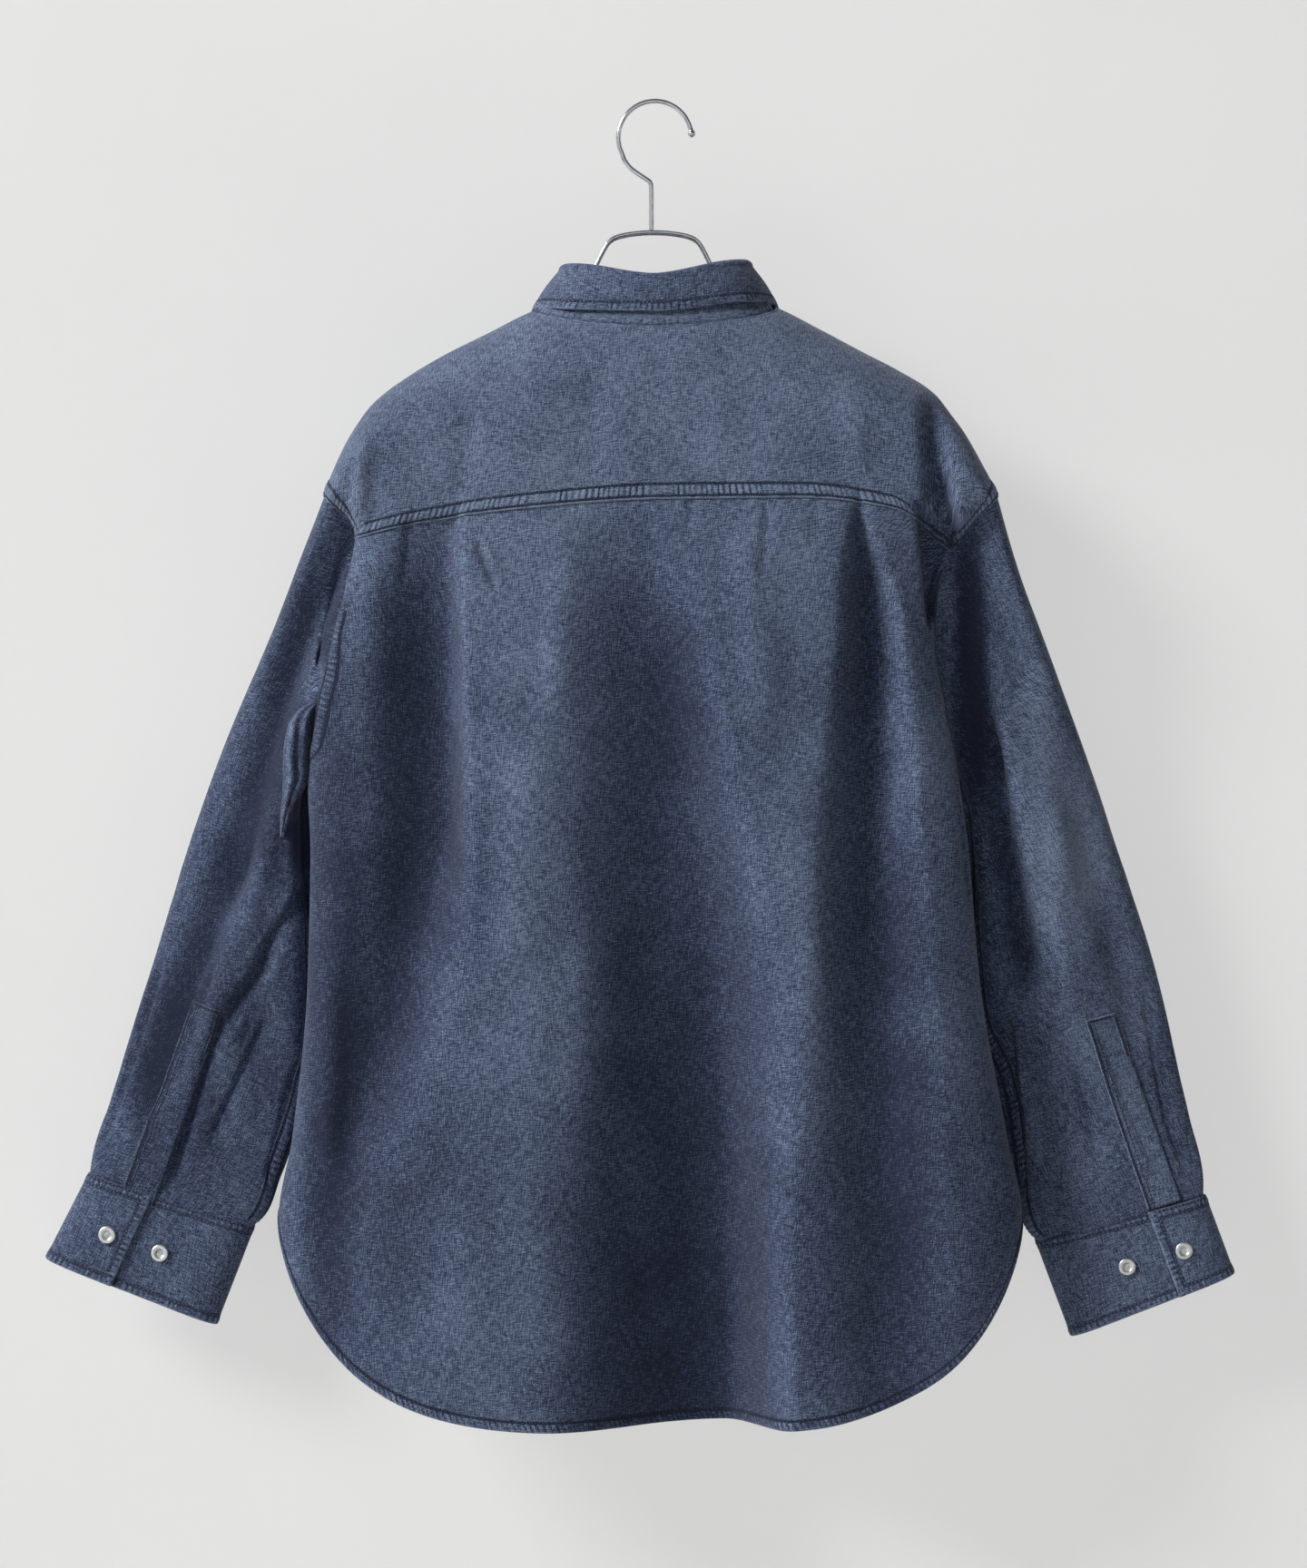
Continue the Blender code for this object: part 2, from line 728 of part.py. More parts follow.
def make_yoke(material):
    """A fan of lines from the neck edge to the outer edge: armhole, back seam and armhole.

    Its seams have the same columns as the panels that they meet.
    """
    back_row = panel_grid(back_lines(), BACK_CELLS, 1, back_top, back_foot, back_point)[0]
    seam = [(x, float(chart_q(x, -z - SEAM, -1))) for x, _, z in back_row]
    left = armhole_rim(-1, -back_row[0, 2])
    right = armhole_rim(1, -back_row[-1, 2])[::-1]
    outer = np.array(left[:-1] + seam + right[1:])
    inner = resample(neck_rim(), len(outer))
    steps = (np.linspace(0, 1, FRONT_CELLS + 1) ** RING_SPREAD)[:, None, None]
    plan = inner[None] * (1 - steps) + outer[None] * steps
    front_q = math.sqrt(FRONT_YOKE - SEAM / 2)
    left_row = front_grid(-1)[0, : FRONT_CELLS + 1, 0][::-1]
    right_row = front_grid(1)[0, -FRONT_CELLS - 1 :, 0]
    plan[:, 0] = np.stack([left_row, np.full(FRONT_CELLS + 1, front_q)], -1)
    plan[:, -1] = np.stack([right_row, np.full(FRONT_CELLS + 1, front_q)], -1)
    grid = chart_point(plan[..., 0], plan[..., 1])
    seams = []
    for column in (0, -1):
        edge = grid[:, column]
        seams.append((np.s_[:, column], sheet_normal("front", FRONT_FOLDS, edge[:, 0], -edge[:, 2])))
    meets_panel = np.s_[-1, len(left) - 1 : len(left) - 1 + len(seam)]
    edge = grid[meets_panel]
    seams.append((meets_panel, sheet_normal("back", BACK_FOLDS, edge[:, 0], -edge[:, 2])))
    return shell("back_yoke", grid, CLOTH, material, seams=seams)


# ---------------------------------------------------------------- collar

def neck_point(turn):
    """The collar stand's foot; turn is from the middle of the back.

    Behind, it goes down inside the yoke's neck edge; in front, it stands on the fronts' edge.
    """
    angle = np.radians(turn)
    x = (NECK_HALF_WIDTH - NECK_SEAM / 2) * np.sin(angle)
    rise = np.abs(np.cos(angle))
    tucked = np.where(np.cos(angle) > 0, ease(rise * 4), 0)
    back = NECK_SIDE + BACK_NECK_FALL * rise ** 1.4 + NECK_TUCK * tucked
    front = NECK_SIDE + (FRONT_NECK_FALL - NECK_SEAM) * rise
    drop = np.where(np.cos(angle) > 0, back, front)
    inside = (CLOTH + DOUBLE_CLOTH) / 2 + SEAM
    y_back = -sheet_depth("back", BACK_FOLDS, x, back - NECK_TUCK * tucked) + inside * tucked
    y_front = sheet_depth("front", FRONT_FOLDS, x, drop)
    y = np.where(np.cos(angle) > 0, y_back, y_front)
    return np.stack([x, y, -drop], -1)


def clear_of_body(points, lift):
    """Points moved out in depth until they lie at least lift outside the body's sheets."""
    x = points[..., 0]
    y = points[..., 1]
    drop = -points[..., 2]
    back = -sheet_depth("back", BACK_FOLDS, x, drop) - lift
    front = sheet_depth("front", FRONT_FOLDS, x, drop) + lift
    below = drop > ridge(x)
    y = np.where(below & (y >= 0), np.maximum(y, front), y)
    y = np.where(below & (y < 0), np.minimum(y, back), y)
    return np.stack([x, y, -drop], -1)


def collar_top(turn):
    return np.stack([read(COLLAR, "top_x", turn), read(COLLAR, "top_y", turn),
                     -read(COLLAR, "top_drop", turn)], -1)


def collar_fall(turn):
    return np.stack([read(COLLAR, "fall_x", turn), read(COLLAR, "fall_y", turn),
                     -read(COLLAR, "fall_drop", turn)], -1)


def outward(turn):
    """Directions square to the collar's own curve in plan."""
    along = collar_top(turn + 2) - collar_top(turn - 2)
    normal = np.stack([-along[..., 1], along[..., 0], np.zeros_like(turn)], -1)
    normal /= np.linalg.norm(normal, axis=-1, keepdims=True)
    facing = np.sign(np.sum(normal * collar_top(turn), axis=-1, keepdims=True))
    return normal * facing


def make_collar_stand(material):
    turns = np.linspace(-180 - STAND_LAP, 180 + STAND_LAP, COLLAR_TURNS)
    wrapped = np.clip(turns, -180, 180)
    past = np.radians(turns - wrapped)[:, None] * FRONT_CURVE
    base = neck_point(wrapped) + past * np.array((-1.0, 0, 0))
    top = collar_top(wrapped) + past * np.array((-1.0, 0, 0))
    lapped = ease((np.abs(turns) - LAP_TURN) / LAP_EASE) * np.sign(turns)
    shift = (LAP_SHIFT * lapped)[:, None] * np.array((0, 1.0, 0))
    steps = np.linspace(0, 1, 4)[:, None, None]
    grid = base[None] * (1 - steps) + top[None] * steps + shift[None]
    return shell("collar_stand", grid, DOUBLE_CLOTH, material)


def make_collar_leaf(material):
    turns = np.linspace(-FALL_START, FALL_START, COLLAR_TURNS)
    top = collar_top(turns)
    fall = collar_fall(turns)
    out = outward(turns)
    along = collar_top(turns + 2) - collar_top(turns - 2)
    up = np.cross(out, along)
    up *= np.sign(up[:, 2:]) / np.linalg.norm(up, axis=-1, keepdims=True)
    rows = [top + up * over + out * away for away, over in zip(LEAF_ROLL["out"], LEAF_ROLL["up"])]
    start = rows[-1]
    for f in np.linspace(0, 1, LEAF_ROWS + 1)[1:]:
        belly = LEAF_BELLY * math.sin(math.pi * f)
        rows.append(start * (1 - f) + (fall + out * FALL_ROLL) * f + out * belly)
    grid = clear_of_body(np.stack(rows), COLLAR_LIFT)
    return shell("collar_leaf", grid, DOUBLE_CLOTH, material)


# ---------------------------------------------------------------- sleeves and cuffs

def armhole_drop(radians):
    """Drop of the armhole, round from the shoulder point (0) to the underarm (pi)."""
    return (SHOULDER_POINT + UNDERARM) / 2 - (UNDERARM - SHOULDER_POINT) / 2 * np.cos(radians)


def armhole_point(side, angle):
    """The sleeve's head: the armhole, down the back and up the front, moved off the body by the
    seam's gap."""
    edge = "left" if side < 0 else "right"
    radians = np.radians(angle)
    drop = armhole_drop(radians)
    x = read(BODY, edge, drop)
    lean = read(BODY, edge, drop + 1) - read(BODY, edge, drop - 1)
    lean = lean / 2 * -side
    away = ARMHOLE_SEAM[edge] / np.sqrt(1 + lean * lean)
    y_back = -sheet_depth("back", BACK_FOLDS, x, drop)
    y_front = sheet_depth("front", FRONT_FOLDS, x, drop)
    y = np.where(np.sin(radians) > 0, y_back, y_front)
    return np.stack([x + side * away, y, -drop - lean * away], -1)


def sleeve_section(rows, along, angle):
    """A flattened ring between the sleeve's outer and inner edges."""
    outer = np.stack([read(rows, "outer_x", along), -read(rows, "outer_drop", along)], -1)
    inner = np.stack([read(rows, "inner_x", along), -read(rows, "inner_drop", along)], -1)
    radians = np.radians(angle)
    swing = np.sign(np.cos(radians)) * np.abs(np.cos(radians)) ** SLEEVE_POWER
    middle = 0.5 * (outer + inner)
    half = 0.5 * (outer - inner)
    flat = middle + half * swing[..., None]
    y = read(rows, "y", along) - read(rows, "depth", along) * np.sin(radians)
    return np.stack([flat[..., 0], y, flat[..., 1]], -1)


def sleeve_point(side, along, angle):
    """The sleeve's surface: the armhole's own shape fades into the hanging sections."""
    rows = SLEEVE_LEFT if side < 0 else SLEEVE_RIGHT
    point = sleeve_section(rows, along, angle)
    start = sleeve_section(rows, np.zeros_like(along), angle)
    fade = 1 - ease(along / ARMHOLE_FADE)
    point = point + (armhole_point(side, angle) - start) * fade[..., None]
    centre = sleeve_section(rows, along, np.full_like(angle, 90.0))
    centre[..., 1] = read(rows, "y", along)
    dent = np.zeros_like(along)
    for centre_angle, start_at, end_at, depth, width in zip(*SLEEVE_FOLDS.values()):
        away = np.abs((angle - centre_angle + 180) % 360 - 180) / width
        length = np.clip((along - start_at) / (end_at - start_at), 0, 1)
        dent = dent + depth * np.sin(math.pi * length) * (0.5 + 0.5 * np.cos(math.pi * np.clip(away, 0, 1)))
    inward = centre - point
    inward /= np.linalg.norm(inward, axis=-1, keepdims=True)
    point = point + inward * dent[..., None]
    return point


def make_sleeve(side, name, material):
    alongs = np.linspace(0, 1, SLEEVE_RINGS) ** RING_SPREAD
    angles = np.arange(0, 360, 360 / SLEEVE_SIDES)
    along, angle = np.meshgrid(alongs, angles, indexing="ij")
    return shell(name, sleeve_point(side, along, angle), CLOTH, material, closed_columns=True)


def cuff_ring(lap):
    """Places round the flattened ring, from the lap's edge out over the outer edge, across the front
    and back past the lap: which face, how far across from the outer edge, and how far along the run."""
    rest = 1 - lap + CUFF_LAP / CUFF_WIDTH
    marks = [("back", lap * (1 - math.sin(a))) for a in np.linspace(0, math.pi / 2, 7)]
    marks += [("front", 0.5 - 0.5 * math.cos(a)) for a in np.linspace(0, math.pi, 11)]
    marks += [("back", 1 - rest * (1 - math.cos(a))) for a in np.linspace(0, math.pi / 2, 9)]
    places = np.array([place for _, place in marks])
    run = np.r_[0, np.cumsum(np.abs(np.diff(places)))]
    return [(face, place, at) for (face, place), at in zip(marks, run / run[-1])]


def cuff_line(cuff, down):
    """Outer and inner ends of the line across a cuff at a fraction of its height, in x and z."""
    corners = {key: np.array((cuff[key][0], -cuff[key][1]), float) for key in CUFF_CORNERS}
    outer = corners["outer_top"] * (1 - down) + corners["outer_foot"] * down
    inner = corners["inner_top"] * (1 - down) + corners["inner_foot"] * down
    return outer, inner


def cuff_depth(place, down, layer):
    """Half depth of the flattened ring at a place across it and down it."""
    belly = 1 + CUFF_BELLY * math.sin(math.pi * down)
    return (CUFF_DEPTH * belly + layer) * math.sqrt(max(0.0, 1 - abs(2 * place - 1) ** CUFF_POWER))


def make_cuff(name, cuff, material):
    """A band that spirals past its own start by the lap, so its two ends lie on each other."""
    marks = cuff_ring(cuff["lap"])
    rows = np.linspace(0, 1, CUFF_ROWS)
    grid = np.zeros((len(rows), len(marks), 3))
    for i, down in enumerate(rows):
        outer, inner = cuff_line(cuff, down)
        for j, (face, place, run) in enumerate(marks):
            layer = CUFF_LAYER * (1 - 2 * run)
            stretch = 0.5 + (place - 0.5) * (1 + 2 * layer / CUFF_WIDTH)
            flat = outer * (1 - stretch) + inner * stretch
            depth = cuff_depth(place, down, layer)
            y = CUFF_Y - depth if face == "back" else CUFF_Y + depth
            grid[i, j] = (flat[0], y, flat[1])
    return shell(name, grid, DOUBLE_CLOTH, material)


def make_sleeve_placket(side, name, cuff, material):
    """A strip moved out from the sleeve's own points."""
    rows = SLEEVE_LEFT if side < 0 else SLEEVE_RIGHT
    start = 1 - PLACKET_LENGTH / SLEEVE_LENGTH
    alongs = np.linspace(start, PLACKET_END, 8)
    offsets = np.linspace(-0.5, 0.5, 4)
    grid = np.zeros((len(alongs), len(offsets), 3))
    lift = np.zeros_like(grid)
    for i, along in enumerate(alongs):
        outer = read(rows, "outer_x", along), read(rows, "outer_drop", along)
        inner = read(rows, "inner_x", along), read(rows, "inner_drop", along)
        t = (along - start) / (1 - start)
        middle = cuff["placket_top"] * (1 - t) + cuff["placket"] * t
        for j, offset in enumerate(offsets):
            place = middle + offset * PLACKET_WIDTH / math.dist(outer, inner)
            grid[i, j], lift[i, j] = sleeve_frame(side, along, surface_angle(1 - 2 * place))
    return shell(name, grid + lift * (CLOTH + LAYER), CLOTH, material)


def surface_angle(swing):
    cosine = math.copysign(abs(swing) ** (1 / SLEEVE_POWER), swing)
    return math.degrees(math.acos(cosine))


def sleeve_frame(side, along, angle):
    """A point on the back of the sleeve and the outward normal there."""
    step = 2 / SLEEVE_LENGTH

    def at(a, t):
        return sleeve_point(side, np.array([a]), np.array([t]))[0]

    point = at(along, angle)
    down = at(along + step, angle) - at(along - step, angle)
    round_it = at(along, angle + 1) - at(along, angle - 1)
    normal = np.cross(down, round_it)
    normal /= np.linalg.norm(normal)
    if normal[1] > 0:
        normal = -normal
    return point, normal


# ---------------------------------------------------------------- snaps

def turned_disc(name, centre, axis, material):
    """A snap cap: a low turned ring with a sunk middle, lying on the cloth."""
    axis = np.array(axis, float)
    axis /= np.linalg.norm(axis)
    helper = np.array((0, 0, 1.0))
    across_axis = np.cross(axis, helper)
    across_axis /= np.linalg.norm(across_axis)
    along_axis = np.cross(axis, across_axis)
    count = SNAP_SIDES
    rings = list(zip(SNAP_PROFILE["radius"], SNAP_PROFILE["height"]))
    verts = [centre.copy(), centre + axis * SNAP_FLOOR]
    for radius, height in rings:
        for k in range(count):
            angle = 2 * math.pi * k / count
            spoke = across_axis * math.cos(angle) + along_axis * math.sin(angle)
            verts.append(centre + axis * height + spoke * radius)
    faces = []
    for k in range(count):
        n = (k + 1) % count
        faces.append((0, 2 + n, 2 + k))
        for r in range(len(rings) - 1):
            a = 2 + r * count
            faces.append((a + k, a + n, a + count + n, a + count + k))
        last = 2 + (len(rings) - 1) * count
        faces.append((1, last + k, last + n))
    return add_object(name, verts, faces, material)


def make_cuff_snaps(side, label, cuff, material):
    for number, (place, down) in enumerate(CUFF_SNAPS[label], 1):
        outer, inner = cuff_line(cuff, down)
        flat = outer * (1 - place) + inner * place
        layer = CUFF_LAYER if number == 1 else -0.5 * CUFF_LAYER
        depth = cuff_depth(place, down, layer)
        centre = np.array((flat[0], CUFF_Y - depth - DOUBLE_CLOTH / 2 - SNAP_GAP - 0.1, flat[1]))
        edge = 2 * place - 1
        tilt = side * CUFF_POWER * edge * abs(edge) ** (CUFF_POWER - 2) * depth / CUFF_WIDTH
        turned_disc(f"cuff_snap_{label}_{number}", centre, (-tilt, -1, 0), material)


def make_front_snaps(material):
    lift = PANEL_GAP + CLOTH + LAYER + CLOTH / 2 + SNAP_GAP
    for number, drop in enumerate(FRONT_SNAP_DROPS, 1):
        point = front_point(np.array(0.0), np.array(float(drop)))
        turned_disc(f"front_snap_{number}", point + np.array((0, lift, 0)), (0, 1, 0), material)
    middle = 0.5 * (neck_point(np.array(180.0)) + collar_top(np.array(180.0)))
    middle = middle + np.array((0, LAP_SHIFT + DOUBLE_CLOTH / 2 + SNAP_GAP + 0.3, 1.0))
    turned_disc("collar_snap", middle, (0, 1, 0), material)


# ---------------------------------------------------------------- hanger

def wire(name, points, radius, material, closed=False, sizes=None):
    curve = bpy.data.curves.new(name, "CURVE")
    curve.dimensions = "3D"
    curve.bevel_depth = radius * MM
    curve.bevel_resolution = 2
    curve.use_fill_caps = not closed
    spline = curve.splines.new("POLY")
    spline.points.add(len(points) - 1)
    for k, point in enumerate(points):
        spline.points[k].co = (*(np.asarray(point) * MM), 1.0)
        spline.points[k].radius = 1.0 if sizes is None else sizes[k]
    spline.use_cyclic_u = closed
    curve.materials.append(material)
    piece = bpy.data.objects.new(name, curve)
    bpy.context.scene.collection.objects.link(piece)
    return piece


def arc(centre, radius, start, end, count):
    angles = np.radians(np.linspace(start, end, count))
    return [(centre[0] + radius * math.cos(a), 0.0, centre[1] + radius * math.sin(a)) for a in angles]


def make_hook(material):
    """A round hook with a ball end, a slanting neck and a stem down between the frame's two runs."""
    centre = (HOOK_CENTRE, HOOK_WIRE - HOOK_RADIUS)
    ring = arc(centre, HOOK_RADIUS, HOOK_FROM, HOOK_TO, 34)
    path = [(x, 0.0, -drop) for x, drop in zip(HOOK_BALL["x"], HOOK_BALL["drop"])]
    sizes = list(HOOK_BALL["size"])
    path += ring
    path += [(x, 0.0, -drop) for x, drop in zip(HOOK_NECK["x"], HOOK_NECK["drop"])]
    sizes += [1.0] * (len(path) - len(sizes))
    return wire("hanger_hook", path, HOOK_WIRE, material, sizes=sizes)


def wire_drop(x, y):
    """Drop of the frame wire that lies just under the inside of the yoke."""
    lean = 1 - math.sqrt(1 - (y / read(BODY, "back", SHOULDER_POINT)) ** 2)
    slope = float(ridge(x + 2) - ridge(x - 2)) / 4
    clearance = (CLOTH / 2 + FRAME_WIRE + FRAME_GAP) * math.sqrt(1 + slope * slope)
    return float(ridge(x) + read(SHOULDER, "round", abs(x)) * lean) + clearance


def frame_run(side):
    """One wire's path from the middle of the arch to the tip, as (x, y distance, drop)."""
    path = [(side * x, y, drop) for x, drop, y in zip(FRAME_SIDE["x"], FRAME_SIDE["drop"], FRAME_SIDE["y"])]
    first_x, first_y, _ = path[-1]
    for f in np.linspace(0, 1, 10)[1:]:
        x = first_x + (side * TIP_REACH - first_x) * f
        y = first_y + (TIP_Y - first_y) * f
        sag = FRAME_SAG * (1 - f) ** 1.5 + TIP_CLEARANCE * f
        path.append((x, y, wire_drop(x, y) + sag))
    return path


def tip_bend(tip, side):
    """The rounded end that joins the two runs of wire, outward and down from their tips."""
    x, y, drop = tip
    bend = []
    for angle in (-50, 0, 50):
        out = TIP_BEND * math.cos(math.radians(angle))
        bend.append((x + side * out, y * math.sin(math.radians(angle)), -drop - TIP_FALL * out))
    return bend


def make_frame(material):
    right = frame_run(1)
    left = frame_run(-1)
    loop = [(x, -y, -drop) for x, y, drop in right]
    loop += tip_bend(right[-1], 1)
    loop += [(x, y, -drop) for x, y, drop in reversed(right)]
    loop += [(x, y, -drop) for x, y, drop in left[1:]]
    loop += tip_bend(left[-1], -1)[::-1]
    loop += [(x, -y, -drop) for x, y, drop in reversed(left[1:])]
    return wire("hanger_frame", loop, FRAME_WIRE, material, closed=True)


# ---------------------------------------------------------------- assembly

def clear_scene():
    for piece in list(bpy.data.objects):
        bpy.data.objects.remove(piece, do_unlink=True)


def main():
    clear_scene()
    cloth = make_material("chambray", 0.85, 0.0)
    trim = make_material("chambray_trim", 0.85, 0.0)
    snap = make_material("snap", 0.3, 0.6)
    chrome = make_material("chrome", 0.12, 1.0)
    make_back_panel(cloth)
    make_yoke(cloth)
    make_fronts(cloth)
    make_front_placket(trim)
    make_collar_stand(trim)
    make_collar_leaf(trim)
    for side, label, cuff in ((-1, "left", CUFF_LEFT), (1, "right", CUFF_RIGHT)):
        make_sleeve(side, "sleeve_" + label, cloth)
        make_cuff("cuff_" + label, cuff, trim)
        make_sleeve_placket(side, "sleeve_placket_" + label, cuff, trim)
        make_cuff_snaps(side, label, cuff, snap)
    make_front_snaps(snap)
    make_hook(chrome)
    make_frame(chrome)


main()
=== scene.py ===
"""Looks of the chambray shirt on its wire hanger: cloth shells, seams, stitches, snaps and wire."""

import math

import bmesh
import bpy
import numpy as np
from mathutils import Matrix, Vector


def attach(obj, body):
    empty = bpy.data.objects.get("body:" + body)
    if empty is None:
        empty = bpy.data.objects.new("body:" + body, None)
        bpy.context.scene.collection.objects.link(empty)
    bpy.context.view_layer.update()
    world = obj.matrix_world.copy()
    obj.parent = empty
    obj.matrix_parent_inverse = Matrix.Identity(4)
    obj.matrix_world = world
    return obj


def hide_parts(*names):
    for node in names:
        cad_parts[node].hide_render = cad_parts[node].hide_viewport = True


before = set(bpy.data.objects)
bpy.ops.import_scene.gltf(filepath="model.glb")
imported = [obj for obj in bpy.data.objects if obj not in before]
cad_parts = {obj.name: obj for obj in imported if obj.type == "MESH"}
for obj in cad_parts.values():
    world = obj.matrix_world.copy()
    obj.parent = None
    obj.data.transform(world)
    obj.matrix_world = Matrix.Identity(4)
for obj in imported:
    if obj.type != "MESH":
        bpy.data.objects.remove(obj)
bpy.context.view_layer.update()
MM = 0.001

# ---------------------------------------------------------------- the shirt's form, in millimetres

# Rounds in which a place that hangs on itself settles
SETTLING = 30
# Cloth and seams
CLOTH = 1.2
DOUBLE_CLOTH = 1.8
SEAM = 0.6
PANEL_GAP = 0.45
NECK_SEAM = 1.3
NECK_TUCK = 2.5
LAYER = 0.9
# How far the sleeve's head is tucked in past the armhole
ARMHOLE_TUCK = 1.6
# Body
SHOULDER_POINT = 265
UNDERARM = 455
NOTCH = 747
BACK_HEM_FALL = 137
FRONT_HEM_FALL = 108
SIDE_POWER = 3.0
# The side edges take their own depth over this fall, which starts a little above the shoulder point
TURN_FALL = 40
TURN_ABOVE = 15
HEM_POWER = 4
HEM_ROUND = 0.65
NECK_POWER = 1.4
# How much a step of the chart's q counts against one of x
CHART_WEIGHT = 9.0
FRONT_YOKE = 30
LAP = 15
UNDERLAP = 2.2
LAP_LINES = (-25, -17, 14)
# Collar
STAND_LAP = 8
LAP_SHIFT = 1.4
LAP_TURN = 160
LAP_EASE = 16
FRONT_CURVE = 50
FALL_START = 170
# Cuffs and their snaps
CUFF_LAP = 28
SNAP_GAP = 0.5
# Both sides of the shirt, as the sign of x and as a word
SIDES = ((-1, "left"), (1, "right"))
# Hanger
HOOK_WIRE = 1.6
FRAME_WIRE = 1.3
HOOK_RADIUS = 24.6
HOOK_CENTRE = 1.0
HOOK_FROM = 14
HOOK_TO = 206


def table(names, *rows):
    """Columns by name; the first column is the one that the others are read against."""
    return dict(zip(names.split(), np.array(rows, float).T))


def fold_table(*rows):
    """A fold: where its valley lies at each drop, how deep it is, and how far its two flanks reach."""
    return table("drop x depth left right", *rows)


# Shoulder line: its drop to the left and right, and the fall over which the cloth rounds off it
SHOULDER = table(
    "reach left right round",
    (0, 120, 120, 60), (40, 127, 125, 60), (82, 141, 138, 60), (110, 155, 152, 58),
    (140, 170, 168, 52), (165, 185, 181, 46), (188, 203, 196, 40), (199, 218, 210, 36),
    (207, 232, 221, 32), (221, 265, 246, 26), (231, 290, 265, 24),
)
# Body: side edges, depth of both sheets in the middle, and their depth at each side edge
BODY = table(
    "drop left right back front back_left back_right front_left front_right",
    (265, -221, 231, 43, 50, 22, 20, 26, 26), (290, -198, 207, 46, 54, 22, 12, 32, 34),
    (326, -204, 190, 48, 57, 28, 6, 40, 40), (361, -212, 188, 50, 58, 28, 2, 40, 40),
    (409, -224, 196, 52, 60, 18, 0, 26, 28), (455, -231, 204, 53, 60, 6, 6, -6, -6),
    (500, -229, 210, 54, 60, 8, 8, -8, -8), (591, -231, 218, 56, 61, 8, 8, -8, -8),
    (693, -241, 236, 58, 62, 8, 8, -8, -8), (747, -250, 246, 58, 62, 8, 8, -8, -8),
    (893, -250, 246, 58, 62, 8, 8, -8, -8),
)
YOKE_SEAM = table(
    "x drop",
    (-197, 294), (-158, 285), (-87, 275.5), (0, 269), (98, 268), (160, 275.5), (198, 302),
)
# Folds, from left to right
BACK_FOLDS = (
    fold_table(
        (272, -127, 2, 46, 6), (357, -130, 18, 50, 10), (449, -133, 26, 52, 14),
        (540, -150, 25, 50, 24), (662, -183, 17, 44, 40), (747, -222, 6, 24, 44),
        (893, -226, 0, 24, 44),
    ),
    fold_table(
        (272, -14, 2, 50, 40), (357, -2, 10, 60, 30), (449, 8, 20, 70, 34), (540, 20, 31, 84, 34),
        (662, 32, 45, 104, 30), (785, 45, 57, 118, 28), (893, 48, 62, 122, 28),
    ),
    fold_table(
        (272, 134, 4, 16, 6), (327, 137, 22, 26, 10), (418, 141, 27, 32, 14), (540, 147, 24, 40, 22),
        (662, 159, 21, 48, 30), (785, 168, 17, 56, 34), (893, 168, 12, 56, 34),
    ),
)
FRONT_FOLDS = (
    fold_table(
        (272, -108, 2, 30, 30), (449, -104, 12, 42, 36), (662, -112, 22, 50, 44),
        (893, -118, 28, 56, 48),
    ),
    fold_table(
        (272, 96, 2, 30, 30), (449, 102, 14, 38, 40), (662, 106, 20, 46, 48), (893, 112, 24, 50, 54),
    ),
)
# Collar stations round the neck, from the middle of the back (0) to the middle of the front (180)
COLLAR = table(
    "turn top_x top_y top_drop fall_x fall_y fall_drop",
    (-180, 0, 48, 186, -20, 64, 240), (-165, -17, 47, 181, -38, 64, 243),
    (-135, -43, 39, 153, -70, 55, 200), (-112, -54, 23, 125, -83, 44, 166),
    (-90, -58, 3, 110, -84, 4, 138), (-45, -37, -24, 113, -58, -37, 142),
    (0, 0, -32, 118, 0, -45, 144), (45, 40, -24, 111, 60, -37, 137), (90, 61, 3, 107, 86, 4, 135),
    (112, 56, 23, 123, 84, 44, 164), (135, 44, 39, 153, 71, 55, 200), (165, 17, 47, 181, 38, 64, 243),
    (180, 0, 48, 186, 20, 64, 240),
)
# The leaf's roll over the stand's top edge: how far outward and up each line of it lies
LEAF_ROLL = table(
    "line out up",
    (0, -0.4, 2.3), (1, 1.8, 2.8), (2, 4.6, 1.2), (3, 5.5, -1.6),
)
NECK_HALF_WIDTH = 80
NECK_SIDE = 141
BACK_NECK_FALL = 13
FRONT_NECK_FALL = 74
FALL_ROLL = 3.7
LEAF_BELLY = 1.6
# Sleeves, by side: the outer and the inner edge of the hanging tube, and how it lies in depth
SLEEVES = {-1: table(
    "along outer_x outer_drop inner_x inner_drop y depth",
    (0.00, -222, 265, -232, 455, 4, 34), (0.10, -241, 312, -240, 482, 12, 34),
    (0.20, -259, 357, -239, 515, 19, 33), (0.35, -288, 425, -233, 563, 25, 32),
    (0.50, -312, 492, -231, 612, 27, 31), (0.70, -340, 582, -236, 664, 26, 27),
    (0.85, -360, 649, -246, 704, 23, 22), (0.96, -375, 703, -264, 743, 20.5, 15),
    (1.00, -377.5, 724, -276.5, 757, 20, 8.0),
), 1: table(
    "along outer_x outer_drop inner_x inner_drop y depth",
    (0.00, 232, 265, 206, 455, 4, 34), (0.10, 246, 312, 216, 482, 12, 34),
    (0.20, 263, 357, 219, 515, 19, 33), (0.35, 288, 425, 217, 563, 25, 32),
    (0.50, 311, 492, 220, 612, 27, 31), (0.70, 340, 582, 230, 664, 26, 27),
    (0.85, 355, 649, 240, 706, 23, 22), (0.96, 367, 715, 254, 753, 20.5, 15),
    (1.00, 368, 738.5, 265, 767, 20, 8.8),
)}
ARMHOLE_FADE = 0.42
SLEEVE_POWER = 0.9
SLEEVE_LENGTH = 550
